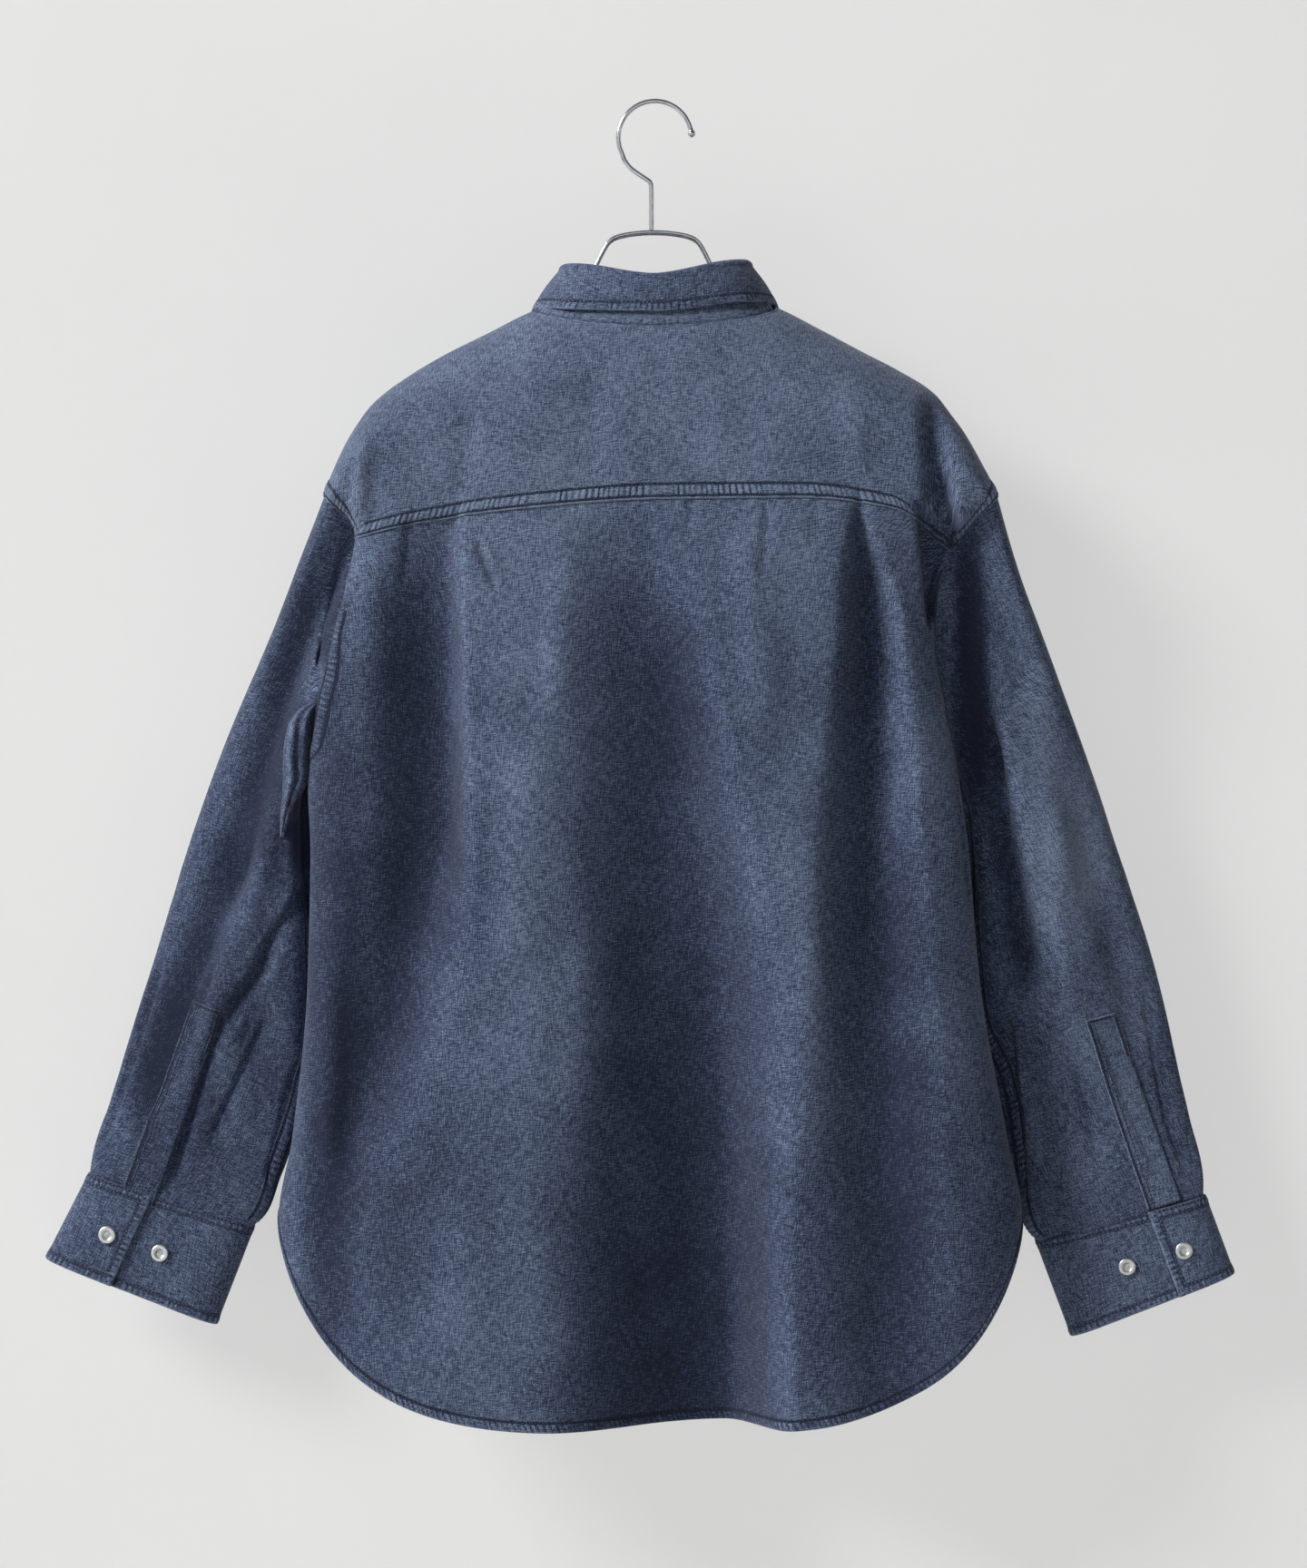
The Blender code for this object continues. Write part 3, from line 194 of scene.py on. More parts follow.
# Long soft folds down each sleeve: the angle round the tube from its outer edge, negative in front
SLEEVE_FOLDS = table(
    "angle start end depth width",
    (48, 0.02, 0.92, 9, 30), (112, 0.22, 1.00, 8, 34), (-60, 0.08, 0.90, 8, 34),
    (-125, 0.20, 0.96, 7, 34),
)
# Cuffs: the corners seen from the back, and the place of the lap across the cuff
CUFFS = {
    "left": {"outer_top": (-380.6, 721), "inner_top": (-270.2, 756.4), "outer_foot": (-409.9, 778.4),
             "inner_foot": (-295.9, 822.9), "lap": 0.39},
    "right": {"outer_top": (372, 736), "inner_top": (258.6, 765.6), "outer_foot": (391.6, 788.7),
              "inner_foot": (283, 830.8), "lap": 0.345},
}
CUFF_Y = 20
CUFF_DEPTH = 12
CUFF_WIDTH = 114
CUFF_POWER = 6
CUFF_LAYER = 1.5
CUFF_BELLY = 0.1
# Snaps on a cuff: how far across from the outer edge and how far down
CUFF_SNAPS = {"left": ((0.25, 0.52), (0.563, 0.52)), "right": ((0.228, 0.52), (0.566, 0.50))}
FRONT_SNAP_DROPS = (300, 388, 476, 564, 652, 740)
# Hanger hook, as x and drop: its end, and the path down from the ring to the stem
HOOK_END = ((25.4, 22.9), (25.5, 22.4), (25.6, 21.4), (25.7, 20.2), (25.7, 19.4))
HOOK_NECK = ((-19.6, 38.0), (-16.6, 42.2), (-12.8, 45.6), (-4.0, 51.6), (-2.4, 53.2), (-1.6, 55.4),
             (-1.4, 64), (-1.4, 76), (-1.4, 84), (-1.4, 88))
# The ball on the hook's end: its radius in wire radii, by the run from the end
HOOK_BALL = table(
    "run size",
    (0, 0.3), (0.6, 1.0), (1.4, 1.5), (2.3, 1.68), (3.4, 1.5), (4.4, 1.1), (5.6, 1.0),
)
# Hanger frame: a wire's path down one side, and how far it stands from the hanger's plane
FRAME_SIDE = table(
    "x drop y",
    (0, 87, 3.6), (12, 87.6, 3.6), (23, 89.6, 3.6), (29, 92.6, 3.6), (33, 98, 3.7), (40, 112, 4.2),
    (50, 133, 5.0), (58, 148, 6.0), (66, 155.5, 7.0),
)
TIP_REACH = 181
TIP_BEND = 8
TIP_Y = 15
TIP_CLEARANCE = 2.6
TIP_FALL = 1.5
FRAME_GAP = 1.2
FRAME_SAG = 8


def read(rows, column, at):
    """A column's smooth value: monotone cubic between rows, constant past the ends."""
    first = next(iter(rows))
    xs = rows[first]
    ys = rows[column]
    at = np.clip(np.asarray(at, float), xs[0], xs[-1])
    step = np.diff(xs)
    slope = np.diff(ys) / step
    tangent = np.zeros(len(xs))
    tangent[0] = slope[0]
    tangent[-1] = slope[-1]
    rising = slope[:-1] * slope[1:] > 0
    left = 2 * step[1:] + step[:-1]
    right = step[1:] + 2 * step[:-1]
    safe = np.where(rising, slope[:-1], 1), np.where(rising, slope[1:], 1)
    tangent[1:-1] = np.where(rising, (left + right) / (left / safe[0] + right / safe[1]), 0)
    i = np.clip(np.searchsorted(xs, at, side="right") - 1, 0, len(xs) - 2)
    t = (at - xs[i]) / step[i]
    rise = ys[i] * (1 + 2 * t) * (1 - t) ** 2 + ys[i + 1] * t * t * (3 - 2 * t)
    return rise + step[i] * t * (1 - t) * (tangent[i] * (1 - t) - tangent[i + 1] * t)


def ease(t):
    t = np.clip(t, 0, 1)
    return t * t * (3 - 2 * t)


def bell(t):
    """1 in the middle, 0 from -1 down and from 1 up."""
    return 0.5 + 0.5 * np.cos(math.pi * np.clip(np.abs(t), 0, 1))


def spot(x, y, drop):
    return np.stack([x, y, -drop], -1)


def unit(way):
    return way / np.linalg.norm(way, axis=-1, keepdims=True)


def run_of(path):
    """Distance along a path from its first point."""
    return np.r_[0, np.cumsum(np.linalg.norm(np.diff(path, axis=0), axis=1))]


def ridge(x):
    """Drop of the shoulder line at x."""
    reach = np.abs(x)
    return np.where(np.asarray(x) < 0, read(SHOULDER, "left", reach), read(SHOULDER, "right", reach))


def ridge_cap(x, drop):
    """Nothing on the shoulder line, full depth once the cloth has rounded over it."""
    down = np.clip((drop - ridge(x)) / read(SHOULDER, "round", np.abs(x)), 0, 1)
    return np.sqrt(np.clip(1 - (1 - down) ** 2, 0, 1))


def valley(fold, x, drop):
    """Depth of a fold's valley at x, falling off over its own reach on each side."""
    away = x - read(fold, "x", drop)
    reach = np.where(away < 0, read(fold, "left", drop), read(fold, "right", drop))
    return read(fold, "depth", drop) * bell(away / reach)


def across(x, drop):
    """Place across the body, -1 at the left edge and 1 at the right edge."""
    left = read(BODY, "left", drop)
    right = read(BODY, "right", drop)
    return np.clip((2 * x - left - right) / (right - left), -1, 1)


def sheet_depth(side, folds, x, drop):
    """Distance of the back or front sheet from the hanger's plane."""
    xi = across(x, drop)
    edge = np.where(xi < 0, read(BODY, side + "_left", drop), read(BODY, side + "_right", drop))
    middle = read(BODY, side, drop)
    rounding = (1 - np.abs(xi) ** SIDE_POWER) ** (1 / SIDE_POWER)
    shaped = edge + (middle - edge) * rounding
    for fold in folds:
        shaped = shaped - valley(fold, x, drop) * rounding
    turned = ease((drop - SHOULDER_POINT + TURN_ABOVE) / TURN_FALL)
    return (middle + (shaped - middle) * turned) * ridge_cap(x, drop)


def hem_drop(xi, fall):
    """Shirt-tail curve, from the side notches down to the middle."""
    return NOTCH + fall * (1 - np.abs(xi) ** HEM_POWER) ** HEM_ROUND


def front_fall_line(x):
    """Drop of the front neck curve at x."""
    turn = np.sqrt(np.clip(1 - (x / NECK_HALF_WIDTH) ** 2, 0, 1))
    return NECK_SIDE + FRONT_NECK_FALL * turn


def neck_edge(side, fall):
    """x where the front neck edge crosses the line that lies a fall below the shoulder line."""
    x = NECK_HALF_WIDTH
    for _ in range(SETTLING):
        drop = float(ridge(side * x)) + fall
        turn = min(1.0, max(0.0, (drop - NECK_SIDE) / FRONT_NECK_FALL))
        x = 0.5 * x + 0.5 * (NECK_HALF_WIDTH * math.sqrt(1 - turn * turn) + NECK_SEAM)
    return side * x


def chart_q(x, drop, side):
    return side * np.sqrt(np.clip(drop - ridge(x), 0, None))


def neck_rim():
    """The yoke's neck edge in the chart, from the left front seam round the back to the right."""
    front_q = math.sqrt(FRONT_YOKE - SEAM / 2)
    rim = [(neck_edge(-1, (front_q * f) ** 2), front_q * f) for f in (1.0, 0.75, 0.5, 0.25)]
    for angle in np.linspace(-90, 90, 13):
        turn = math.radians(angle)
        x = (NECK_HALF_WIDTH + NECK_SEAM) * math.sin(turn)
        drop = NECK_SIDE + BACK_NECK_FALL * math.cos(turn) ** NECK_POWER
        rim.append((x, float(chart_q(x, drop, -1))))
    rim += [(neck_edge(1, (front_q * f) ** 2), front_q * f) for f in (0.25, 0.5, 0.75, 1.0)]
    return rim


def front_corner_drop(edge):
    """Drop where the yoke's front seam meets the armhole."""
    low = SHOULDER_POINT
    high = SHOULDER_POINT + FRONT_YOKE
    for _ in range(SETTLING):
        drop = 0.5 * (low + high)
        if drop - ridge(read(BODY, edge, drop)) < FRONT_YOKE - SEAM / 2:
            low = drop
        else:
            high = drop
    return low


def resample(path, count):
    """Evenly spaced points along a path of (x, q) pairs; q is weighted to be about as long as x."""
    path = np.array(path, float)
    length = run_of(path * (1.0, CHART_WEIGHT))
    at = np.linspace(0, length[-1], count)
    return np.stack([np.interp(at, length, path[:, k]) for k in (0, 1)], -1)


def neck_point(turn):
    """The collar stand's foot; turn is from the middle of the back.

    Behind, it goes down inside the yoke's neck edge; in front, it stands on the fronts' edge.
    """
    angle = np.radians(turn)
    x = (NECK_HALF_WIDTH - NECK_SEAM / 2) * np.sin(angle)
    rise = np.abs(np.cos(angle))
    tucked = np.where(np.cos(angle) > 0, ease(rise * 4), 0)
    back = NECK_SIDE + BACK_NECK_FALL * rise ** NECK_POWER + NECK_TUCK * tucked
    front = NECK_SIDE + (FRONT_NECK_FALL - NECK_SEAM) * rise
    drop = np.where(np.cos(angle) > 0, back, front)
    inside = (CLOTH + DOUBLE_CLOTH) / 2 + SEAM
    y_back = -sheet_depth("back", BACK_FOLDS, x, back - NECK_TUCK * tucked) + inside * tucked
    y_front = sheet_depth("front", FRONT_FOLDS, x, drop)
    y = np.where(np.cos(angle) > 0, y_back, y_front)
    return spot(x, y, drop)


def clear_of_body(points, lift):
    """Points moved out in depth until they lie at least lift outside the body's sheets."""
    x = points[..., 0]
    y = points[..., 1]
    drop = -points[..., 2]
    back = -sheet_depth("back", BACK_FOLDS, x, drop) - lift
    front = sheet_depth("front", FRONT_FOLDS, x, drop) + lift
    below = drop > ridge(x)
    y = np.where(below & (y >= 0), np.maximum(y, front), y)
    y = np.where(below & (y < 0), np.minimum(y, back), y)
    return spot(x, y, drop)


def collar_curve(curve, turn):
    """The collar's fold ("top") or the leaf's lower edge ("fall"), at a turn round the neck."""
    x, y, drop = (read(COLLAR, curve + axis, turn) for axis in ("_x", "_y", "_drop"))
    return spot(x, y, drop)


def outward(turn):
    """Directions square to the collar's own curve in plan."""
    along = collar_curve("top", turn + 2) - collar_curve("top", turn - 2)
    normal = np.stack([-along[..., 1], along[..., 0], np.zeros_like(turn)], -1)
    facing = np.sign(np.sum(normal * collar_curve("top", turn), axis=-1, keepdims=True))
    return unit(normal) * facing


def armhole_drop(radians):
    """Drop of the armhole, round from the shoulder point (0) to the underarm (pi)."""
    return (SHOULDER_POINT + UNDERARM) / 2 - (UNDERARM - SHOULDER_POINT) / 2 * np.cos(radians)


def armhole_point(side, angle):
    """The sleeve's head: the armhole, down the back and up the front, tucked into the body."""
    edge = "left" if side < 0 else "right"
    radians = np.radians(angle)
    drop = armhole_drop(radians)
    x = read(BODY, edge, drop)
    lean = read(BODY, edge, drop + 1) - read(BODY, edge, drop - 1)
    lean = lean / 2 * -side
    away = -ARMHOLE_TUCK / np.sqrt(1 + lean * lean)
    y_back = -sheet_depth("back", BACK_FOLDS, x, drop)
    y_front = sheet_depth("front", FRONT_FOLDS, x, drop)
    y = np.where(np.sin(radians) > 0, y_back, y_front)
    return np.stack([x + side * away, y, -drop - lean * away], -1)


def sleeve_section(rows, along, angle):
    """A flattened ring between the sleeve's outer and inner edges."""
    outer, inner = (np.stack([read(rows, edge + "_x", along), -read(rows, edge + "_drop", along)], -1)
                    for edge in ("outer", "inner"))
    radians = np.radians(angle)
    swing = np.sign(np.cos(radians)) * np.abs(np.cos(radians)) ** SLEEVE_POWER
    flat = 0.5 * (outer + inner) + 0.5 * (outer - inner) * swing[..., None]
    y = read(rows, "y", along) - read(rows, "depth", along) * np.sin(radians)
    return np.stack([flat[..., 0], y, flat[..., 1]], -1)


def sleeve_centre(side, along):
    """The middle line of a sleeve."""
    centre = sleeve_section(SLEEVES[side], along, np.full_like(along, 90.0))
    centre[..., 1] = read(SLEEVES[side], "y", along)
    return centre


def sleeve_point(side, along, angle):
    """The sleeve's surface: the armhole's own shape fades into the hanging sections."""
    rows = SLEEVES[side]
    point = sleeve_section(rows, along, angle)
    start = sleeve_section(rows, np.zeros_like(along), angle)
    fade = 1 - ease(along / ARMHOLE_FADE)
    point = point + (armhole_point(side, angle) - start) * fade[..., None]
    dent = np.zeros_like(along)
    for centre_angle, start_at, end_at, depth, width in zip(*SLEEVE_FOLDS.values()):
        away = np.abs((angle - centre_angle + 180) % 360 - 180) / width
        length = np.clip((along - start_at) / (end_at - start_at), 0, 1)
        dent = dent + depth * np.sin(math.pi * length) * bell(away)
    return point + unit(sleeve_centre(side, along) - point) * dent[..., None]


def cuff_line(cuff, down):
    """Outer and inner ends of the line across a cuff at a fraction of its height, in x and z."""
    ends = []
    for end in ("outer", "inner"):
        top, foot = (np.array(cuff[end + part], float) * (1, -1) for part in ("_top", "_foot"))
        ends.append(top * (1 - down) + foot * down)
    return ends


def cuff_rounding(place):
    """How deep the flattened ring is at a place across it, as a part of its middle's depth."""
    return np.sqrt(np.clip(1 - np.abs(2 * place - 1) ** CUFF_POWER, 0, None))


def cuff_depth(place, down, layer):
    """Half depth of the flattened ring at a place across it and down it."""
    return (CUFF_DEPTH * (1 + CUFF_BELLY * np.sin(math.pi * down)) + layer) * cuff_rounding(place)


def arc(centre, radius, start, end, count):
    angles = np.radians(np.linspace(start, end, count))
    return [(centre[0] + radius * math.cos(a), 0.0, centre[1] + radius * math.sin(a)) for a in angles]


def wire_drop(x, y):
    """Drop of the frame wire that lies just under the inside of the yoke."""
    lean = 1 - math.sqrt(1 - (y / read(BODY, "back", SHOULDER_POINT)) ** 2)
    slope = float(ridge(x + 2) - ridge(x - 2)) / 4
    clearance = (CLOTH / 2 + FRAME_WIRE + FRAME_GAP) * math.sqrt(1 + slope * slope)
    return float(ridge(x) + read(SHOULDER, "round", abs(x)) * lean) + clearance


def frame_run(side):
    """One wire's path from the middle of the arch to the tip, as (x, y distance, drop)."""
    path = [(side * x, y, drop) for x, drop, y in zip(FRAME_SIDE["x"], FRAME_SIDE["drop"], FRAME_SIDE["y"])]
    first_x, first_y, _ = path[-1]
    for f in np.linspace(0, 1, 10)[1:]:
        x = first_x + (side * TIP_REACH - first_x) * f
        y = first_y + (TIP_Y - first_y) * f
        sag = FRAME_SAG * (1 - f) ** 1.5 + TIP_CLEARANCE * f
        path.append((x, y, wire_drop(x, y) + sag))
    return path


def tip_bend(tip, side):
    """The rounded end that joins the two runs of wire, outward and down from their tips."""
    x, y, drop = tip
    bend = []
    for angle in (-50, 0, 50):
        out = TIP_BEND * math.cos(math.radians(angle))
        bend.append((x + side * out, y * math.sin(math.radians(angle)), -drop - TIP_FALL * out))
    return bend


# ---------------------------------------------------------------- cloth relief

# Thickness of a sheet as it is drawn: one layer of cloth, and two with an interlining
SHELL = 1.0
DOUBLE_SHELL = 1.6
# How far the yoke stands proud of the panels, and how far their edges reach up under it
YOKE_PROUD = 0.9
UNDER_SEAM = 3.6
NOISE_CELLS = 64
# The part of a crease's half length over which it fades out at either end
CREASE_FADE = 0.44


def noise(x, y, seed):
    """Smooth value noise, about -1 to 1, that repeats after NOISE_CELLS cells."""
    grid = np.random.default_rng(seed).uniform(-1, 1, (NOISE_CELLS, NOISE_CELLS))
    i = np.floor(x).astype(int)
    j = np.floor(y).astype(int)
    u = ease(x - i)
    v = ease(y - j)
    i, i_next, j, j_next = (index % NOISE_CELLS for index in (i, i + 1, j, j + 1))
    low = grid[i, j] * (1 - u) + grid[i_next, j] * u
    high = grid[i, j_next] * (1 - u) + grid[i_next, j_next] * u
    return low * (1 - v) + high * v


def creases(rows, x, drop):
    """Creases listed one by one: each is a line with its own height and a reach on either side."""
    total = np.zeros(np.broadcast(x, drop).shape)
    for x0, d0, x1, d1, height, reach_left, reach_right in rows:
        run = np.hypot(x1 - x0, d1 - d0)
        ux, ud = (x1 - x0) / run, (d1 - d0) / run
        along = ((x - x0) * ux + (drop - d0) * ud) / run
        off = (x - x0) * ud - (drop - d0) * ux
        reach = np.where(off < 0, reach_left, reach_right)
        fade = ease((1 - np.abs(2 * along - 1)) / CREASE_FADE)
        total = total + height * fade * bell(off / reach)
    return total


# Creases: x and drop of both ends, height outward, and reach to the left and right
BACK_CREASES = (
    (-118, 296, -104, 332, -2.6, 3, 5), (-112, 300, -100, 322, 1.4, 4, 5),
    (27, 266, 21, 296, -2.0, 4, 4), (15, 300, 25, 327, -1.9, 4, 4), (76, 264, 70, 328, -2.2, 4, 7),
    (-160, 276, -166, 330, -1.6, 7, 7), (108, 264, 106, 300, -1.2, 4, 4),
    (174, 268, 184, 360, -15.0, 3, 22), (186, 325, 200, 440, -11.0, 4, 14),
    (198, 420, 212, 560, -5.0, 5, 10), (-60, 300, -66, 420, 2.5, 18, 24),
    (-80, 420, -96, 600, 3.0, 26, 28), (60, 280, 74, 440, 2.5, 20, 24),
    (92, 430, 108, 640, 2.4, 28, 24), (-40, 520, -52, 730, 2.6, 22, 30),
    (-216, 560, -214, 740, 2.0, 12, 14), (-10, 690, 14, 840, 1.6, 18, 22),
    (120, 700, 128, 860, 1.6, 20, 20), (-130, 700, -120, 850, 2.0, 24, 22),
)
YOKE_CREASES = (
    (-192, 222, -199, 300, 3.4, 5, 13), (184, 190, 192, 312, -9.0, 15, 14),
    (190, 246, 206, 322, -7.0, 10, 7), (-120, 200, -128, 280, -1.2, 14, 12),
    (40, 180, 46, 262, 1.0, 16, 18), (128, 190, 140, 262, 1.3, 14, 16),
    (-40, 180, -44, 264, -0.9, 16, 14),
)
FRONT_CREASES = (
    (-60, 250, -72, 420, 2.6, 20, 22), (56, 255, 70, 430, 2.6, 20, 22),
    (-150, 330, -160, 520, 2.8, 22, 24), (150, 340, 158, 540, 2.8, 22, 24),
    (-44, 500, -52, 700, 2.4, 22, 24), (48, 520, 58, 720, 2.4, 22, 24),
    (-180, 560, -176, 760, 2.4, 18, 22), (176, 560, 184, 770, 2.4, 20, 22),
)


# Unevenness of the cloth: height, width and length of each kind of wave
WAVES = ((0.9, 46, 130), (0.45, 19, 48), (0.16, 8, 17))


def wrinkle(x, drop, seed):
    """Gentle unevenness: long down the cloth, short across it."""
    return sum(high * noise(x / wide, drop / long, seed + k) for k, (high, wide, long) in enumerate(WAVES))


# Over this part of the half width the relief dies out at a side edge
EDGE_FADE = 0.03
BODY_CREASES = {"back": YOKE_CREASES + BACK_CREASES, "front": FRONT_CREASES}
BODY_SEED = {"back": 11, "front": 31}


def body_relief(side, x, drop):
    """Creases and unevenness, none at the side edges and on the shoulder line."""
    edge = ease((1 - np.abs(across(x, drop))) / EDGE_FADE)
    lines = creases(BODY_CREASES[side], x, drop)
    return (lines + wrinkle(x, drop, BODY_SEED[side])) * edge * ridge_cap(x, drop)


# Patches of the back painted paler or darker, mostly darker as painted shade in the folds' valleys and beside
# the sleeves: x, drop, reach across and down, change
BACK_PATCHES = (
    (-214, 560, 30, 330, -0.95), (-168, 440, 32, 200, -0.62), (14, 402, 34, 90, -0.4),
    (-125, 480, 40, 190, -0.22), (168, 640, 28, 240, -0.36), (106, 775, 30, 125, -0.4),
    (-160, 690, 50, 130, -0.25), (-190, 790, 46, 120, -0.3), (100, 330, 34, 90, 0.2),
    (200, 336, 16, 66, -0.5), (60, 410, 190, 130, -0.14),
)
PATCH_CORE = 1.4
# Painted shade: how dark a fold's valley is painted, the depth over which that builds up, and how much darker
# creases and lighter ridges are painted by their height
FOLD_SHADE = 0.85
FOLD_SHADE_DEPTH = 22.0
CREASE_SHADE = 0.055
# Clouds in the dye: strength, width, length and seed
BODY_CLOUDS = ((0.16, 60, 90, 17), (0.1, 22, 34, 18))
SLEEVE_CLOUDS = ((0.16, 50, 80, 27), (0.1, 20, 30, 28))


def patches(rows, x, drop):
    """Paler and darker patches, each fading out at its own reach."""
    total = np.zeros(np.shape(x))
    for middle, height, reach, fall, paler in rows:
        away = np.hypot((x - middle) / reach, (drop - height) / fall)
        total = total + paler * ease(PATCH_CORE * (1 - away))
    return total


def clouds(rows, x, drop):
    return sum(strength * noise(x / wide, drop / length, seed) for strength, wide, length, seed in rows)


def body_shade_and_wear(side, x, drop):
    """Painted shade: deep fold valleys and creases darker, ridges lighter; darker towards the foot and the
    lower right, with clouds in the dye and, on the back, paler and darker patches.
    """
    sunk = sheet_depth(side, (), x, drop) - sheet_depth(side, WORN_FOLDS[side], x, drop)
    lines = np.clip(creases(BODY_CREASES[side], x, drop), -9, 4)
    low = 0.22 * ease((drop - 420) / 300) + 0.3 * ease((drop - 600) / 120) * ease((x - 120) / 50)
    cloud = clouds(BODY_CLOUDS, x, drop)
    if side == "back":
        cloud = cloud + patches(BACK_PATCHES, x, drop)
    return cloud - FOLD_SHADE * (1 - np.exp(-sunk / FOLD_SHADE_DEPTH)) + CREASE_SHADE * lines - low


def body_depth(side, x, drop):
    """Distance of a creased sheet from the hanger's plane."""
    return sheet_depth(side, WORN_FOLDS[side], x, drop) + body_relief(side, x, drop)


# ---------------------------------------------------------------- sheets

def grid_normals(points, outward, closed=False):
    """Unit normals of a grid, turned to the side that outward points to."""
    if closed:
        wide = np.concatenate([points[:, -1:], points, points[:, :1]], axis=1)
        du = wide[:, 2:] - wide[:, :-2]
    else:
        du = np.gradient(points, axis=1)
    dv = np.gradient(points, axis=0)
    normal = np.cross(du, dv)
    normal /= np.maximum(np.linalg.norm(normal, axis=-1, keepdims=True), 1e-9)
    return normal * np.sign(np.sum(normal * outward))


def cloth_run(points, axis):
    """Distance along the cloth from its first line, in centimetres."""
    step = np.linalg.norm(np.diff(points, axis=axis), axis=-1)
    run = np.cumsum(step, axis=axis) / 10
    return np.concatenate([np.zeros_like(np.take(run, [0], axis=axis)), run], axis=axis)


def grain(points, axis, beside, column):
    """Cloth coordinates in centimetres: threads run along an axis, measured out from one column."""
    axis = np.array(axis, float)
    step = np.diff(points, axis=1)
    step = step - (step @ axis)[..., None] * axis
    run = np.cumsum(np.linalg.norm(step, axis=-1), axis=1) / 10
    run = np.concatenate([np.zeros_like(run[:, :1]), run], axis=1)
    start = points[:, column : column + 1] @ np.array(beside, float) / 10
    return run - run[:, column : column + 1] + start, points @ axis / 10


def add_object(name, data):
    piece = bpy.data.objects.new(name, data)
    bpy.context.scene.collection.objects.link(piece)
    return piece


def make_mesh(name, verts, faces, material, uv=None, wear_and_shade=None):
    """A piece that rides the part, from points in millimetres, with cloth coordinates and a value of wear and
    painted shade.
    """
    uv = np.zeros((faces.size, 2)) if uv is None else uv
    wear_and_shade = np.zeros(len(verts)) if wear_and_shade is None else wear_and_shade
    mesh = bpy.data.meshes.new(name)
    mesh.vertices.add(len(verts))
    mesh.vertices.foreach_set("co", (np.asarray(verts, float) * MM).ravel())
    mesh.loops.add(faces.size)
    mesh.loops.foreach_set("vertex_index", faces.ravel().astype(np.int32))
    mesh.polygons.add(len(faces))
    mesh.polygons.foreach_set("loop_start", np.arange(0, faces.size, faces.shape[1], dtype=np.int32))
    mesh.update(calc_edges=True)
    layer = mesh.uv_layers.new(name="cloth")
    layer.data.foreach_set("uv", uv.reshape(-1).astype(np.float32))
    # Each point's value holds real wear of the cloth together with painted shade and light in folds, creases
    # and gaps
    attribute = mesh.attributes.new("wear_and_shade", "FLOAT", "POINT")
    attribute.data.foreach_set("value", np.asarray(wear_and_shade, np.float32))
    turned = bmesh.new()
    turned.from_mesh(mesh)
    bmesh.ops.recalc_face_normals(turned, faces=turned.faces)
    turned.to_mesh(mesh)
    turned.free()
    mesh.polygons.foreach_set("use_smooth", np.full(len(mesh.polygons), True))
    mesh.materials.append(material)
    piece = add_object(name, mesh)
    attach(piece, "root")
    return piece


def shell(name, points, normal, material, thickness=SHELL, closed=False, wear_and_shade=None, uv=None):
    """A closed thin shell about a grid of points, with cloth coordinates and a value of wear and painted
    shade.
    """
    rows, columns = points.shape[:2]
    half = 0.5 * thickness * normal
    verts = np.concatenate([(points + half).reshape(-1, 3), (points - half).reshape(-1, 3)])
    under = rows * columns
    if uv is None:
        run_across, run_down = cloth_run(points, 1), cloth_run(points, 0)
        run_across = run_across - run_across[:, columns // 2 : columns // 2 + 1]
    else:
        run_across, run_down = uv
    last = 2 * run_across[:, -1:] - run_across[:, -2:-1]
    wide = np.stack([np.concatenate([run_across, last], axis=1),
                     np.concatenate([run_down, run_down[:, :1]], axis=1)], -1)

    def strip(rows_at, columns_at, rows_to, columns_to, rim):
        """Quads between two lines of the grid, or from its upper to its under side along a rim."""
        a = rows_at * columns + columns_at % columns
        b = rows_to * columns + columns_to % columns
        uv_a = wide[rows_at, columns_at]
        uv_b = wide[rows_to, columns_to]
        if rim:
            return np.stack([a, b, b + under, a + under], -1), np.stack([uv_a, uv_b, uv_b, uv_a], axis=1)
        c = (rows_to + 1) * columns + columns_to % columns
        d = (rows_at + 1) * columns + columns_at % columns
        corners = [uv_a, uv_b, wide[rows_to + 1, columns_to], wide[rows_at + 1, columns_at]]
        return np.stack([a, b, c, d], -1), np.stack(corners, axis=1)

    spans = columns if closed else columns - 1
    i, j = (index.ravel() for index in np.meshgrid(np.arange(rows - 1), np.arange(spans), indexing="ij"))
    face, face_uv = strip(i, j, i, j + 1, False)
    parts = [(face, face_uv), (face + under, face_uv)]
    k = np.arange(spans)
    for row in (0, rows - 1):
        parts.append(strip(np.full(spans, row), k, np.full(spans, row), k + 1, True))
    if not closed:
        k = np.arange(rows - 1)
        for column in (0, columns - 1):
            parts.append(strip(k, np.full(rows - 1, column), k + 1, np.full(rows - 1, column), True))
    faces = np.concatenate([part[0] for part in parts])
    face_uv = np.concatenate([part[1] for part in parts])
    value = np.zeros((rows, columns)) if wear_and_shade is None else wear_and_shade
    return make_mesh(name, verts, faces, material, face_uv, np.tile(value.ravel(), 2))


# ---------------------------------------------------------------- body panels

# Cells of the grids, and how closely their columns crowd towards an armhole's edge
BACK_COLUMNS = (44, 54, 50, 36)
BACK_LINES_DOWN = 205
FRONT_COLUMNS = {-1: (46, 24, 14), 1: (36, 48)}
FRONT_LINES_DOWN = 126
EDGE_CROWD = 1.7
# The column from which a front's threads are counted
FRONT_GRAIN = 30


def guide_line(rows, column):
    return lambda drop: read(rows, column, drop)


def fixed_line(x):
    return lambda drop: np.full(np.shape(drop), float(x))


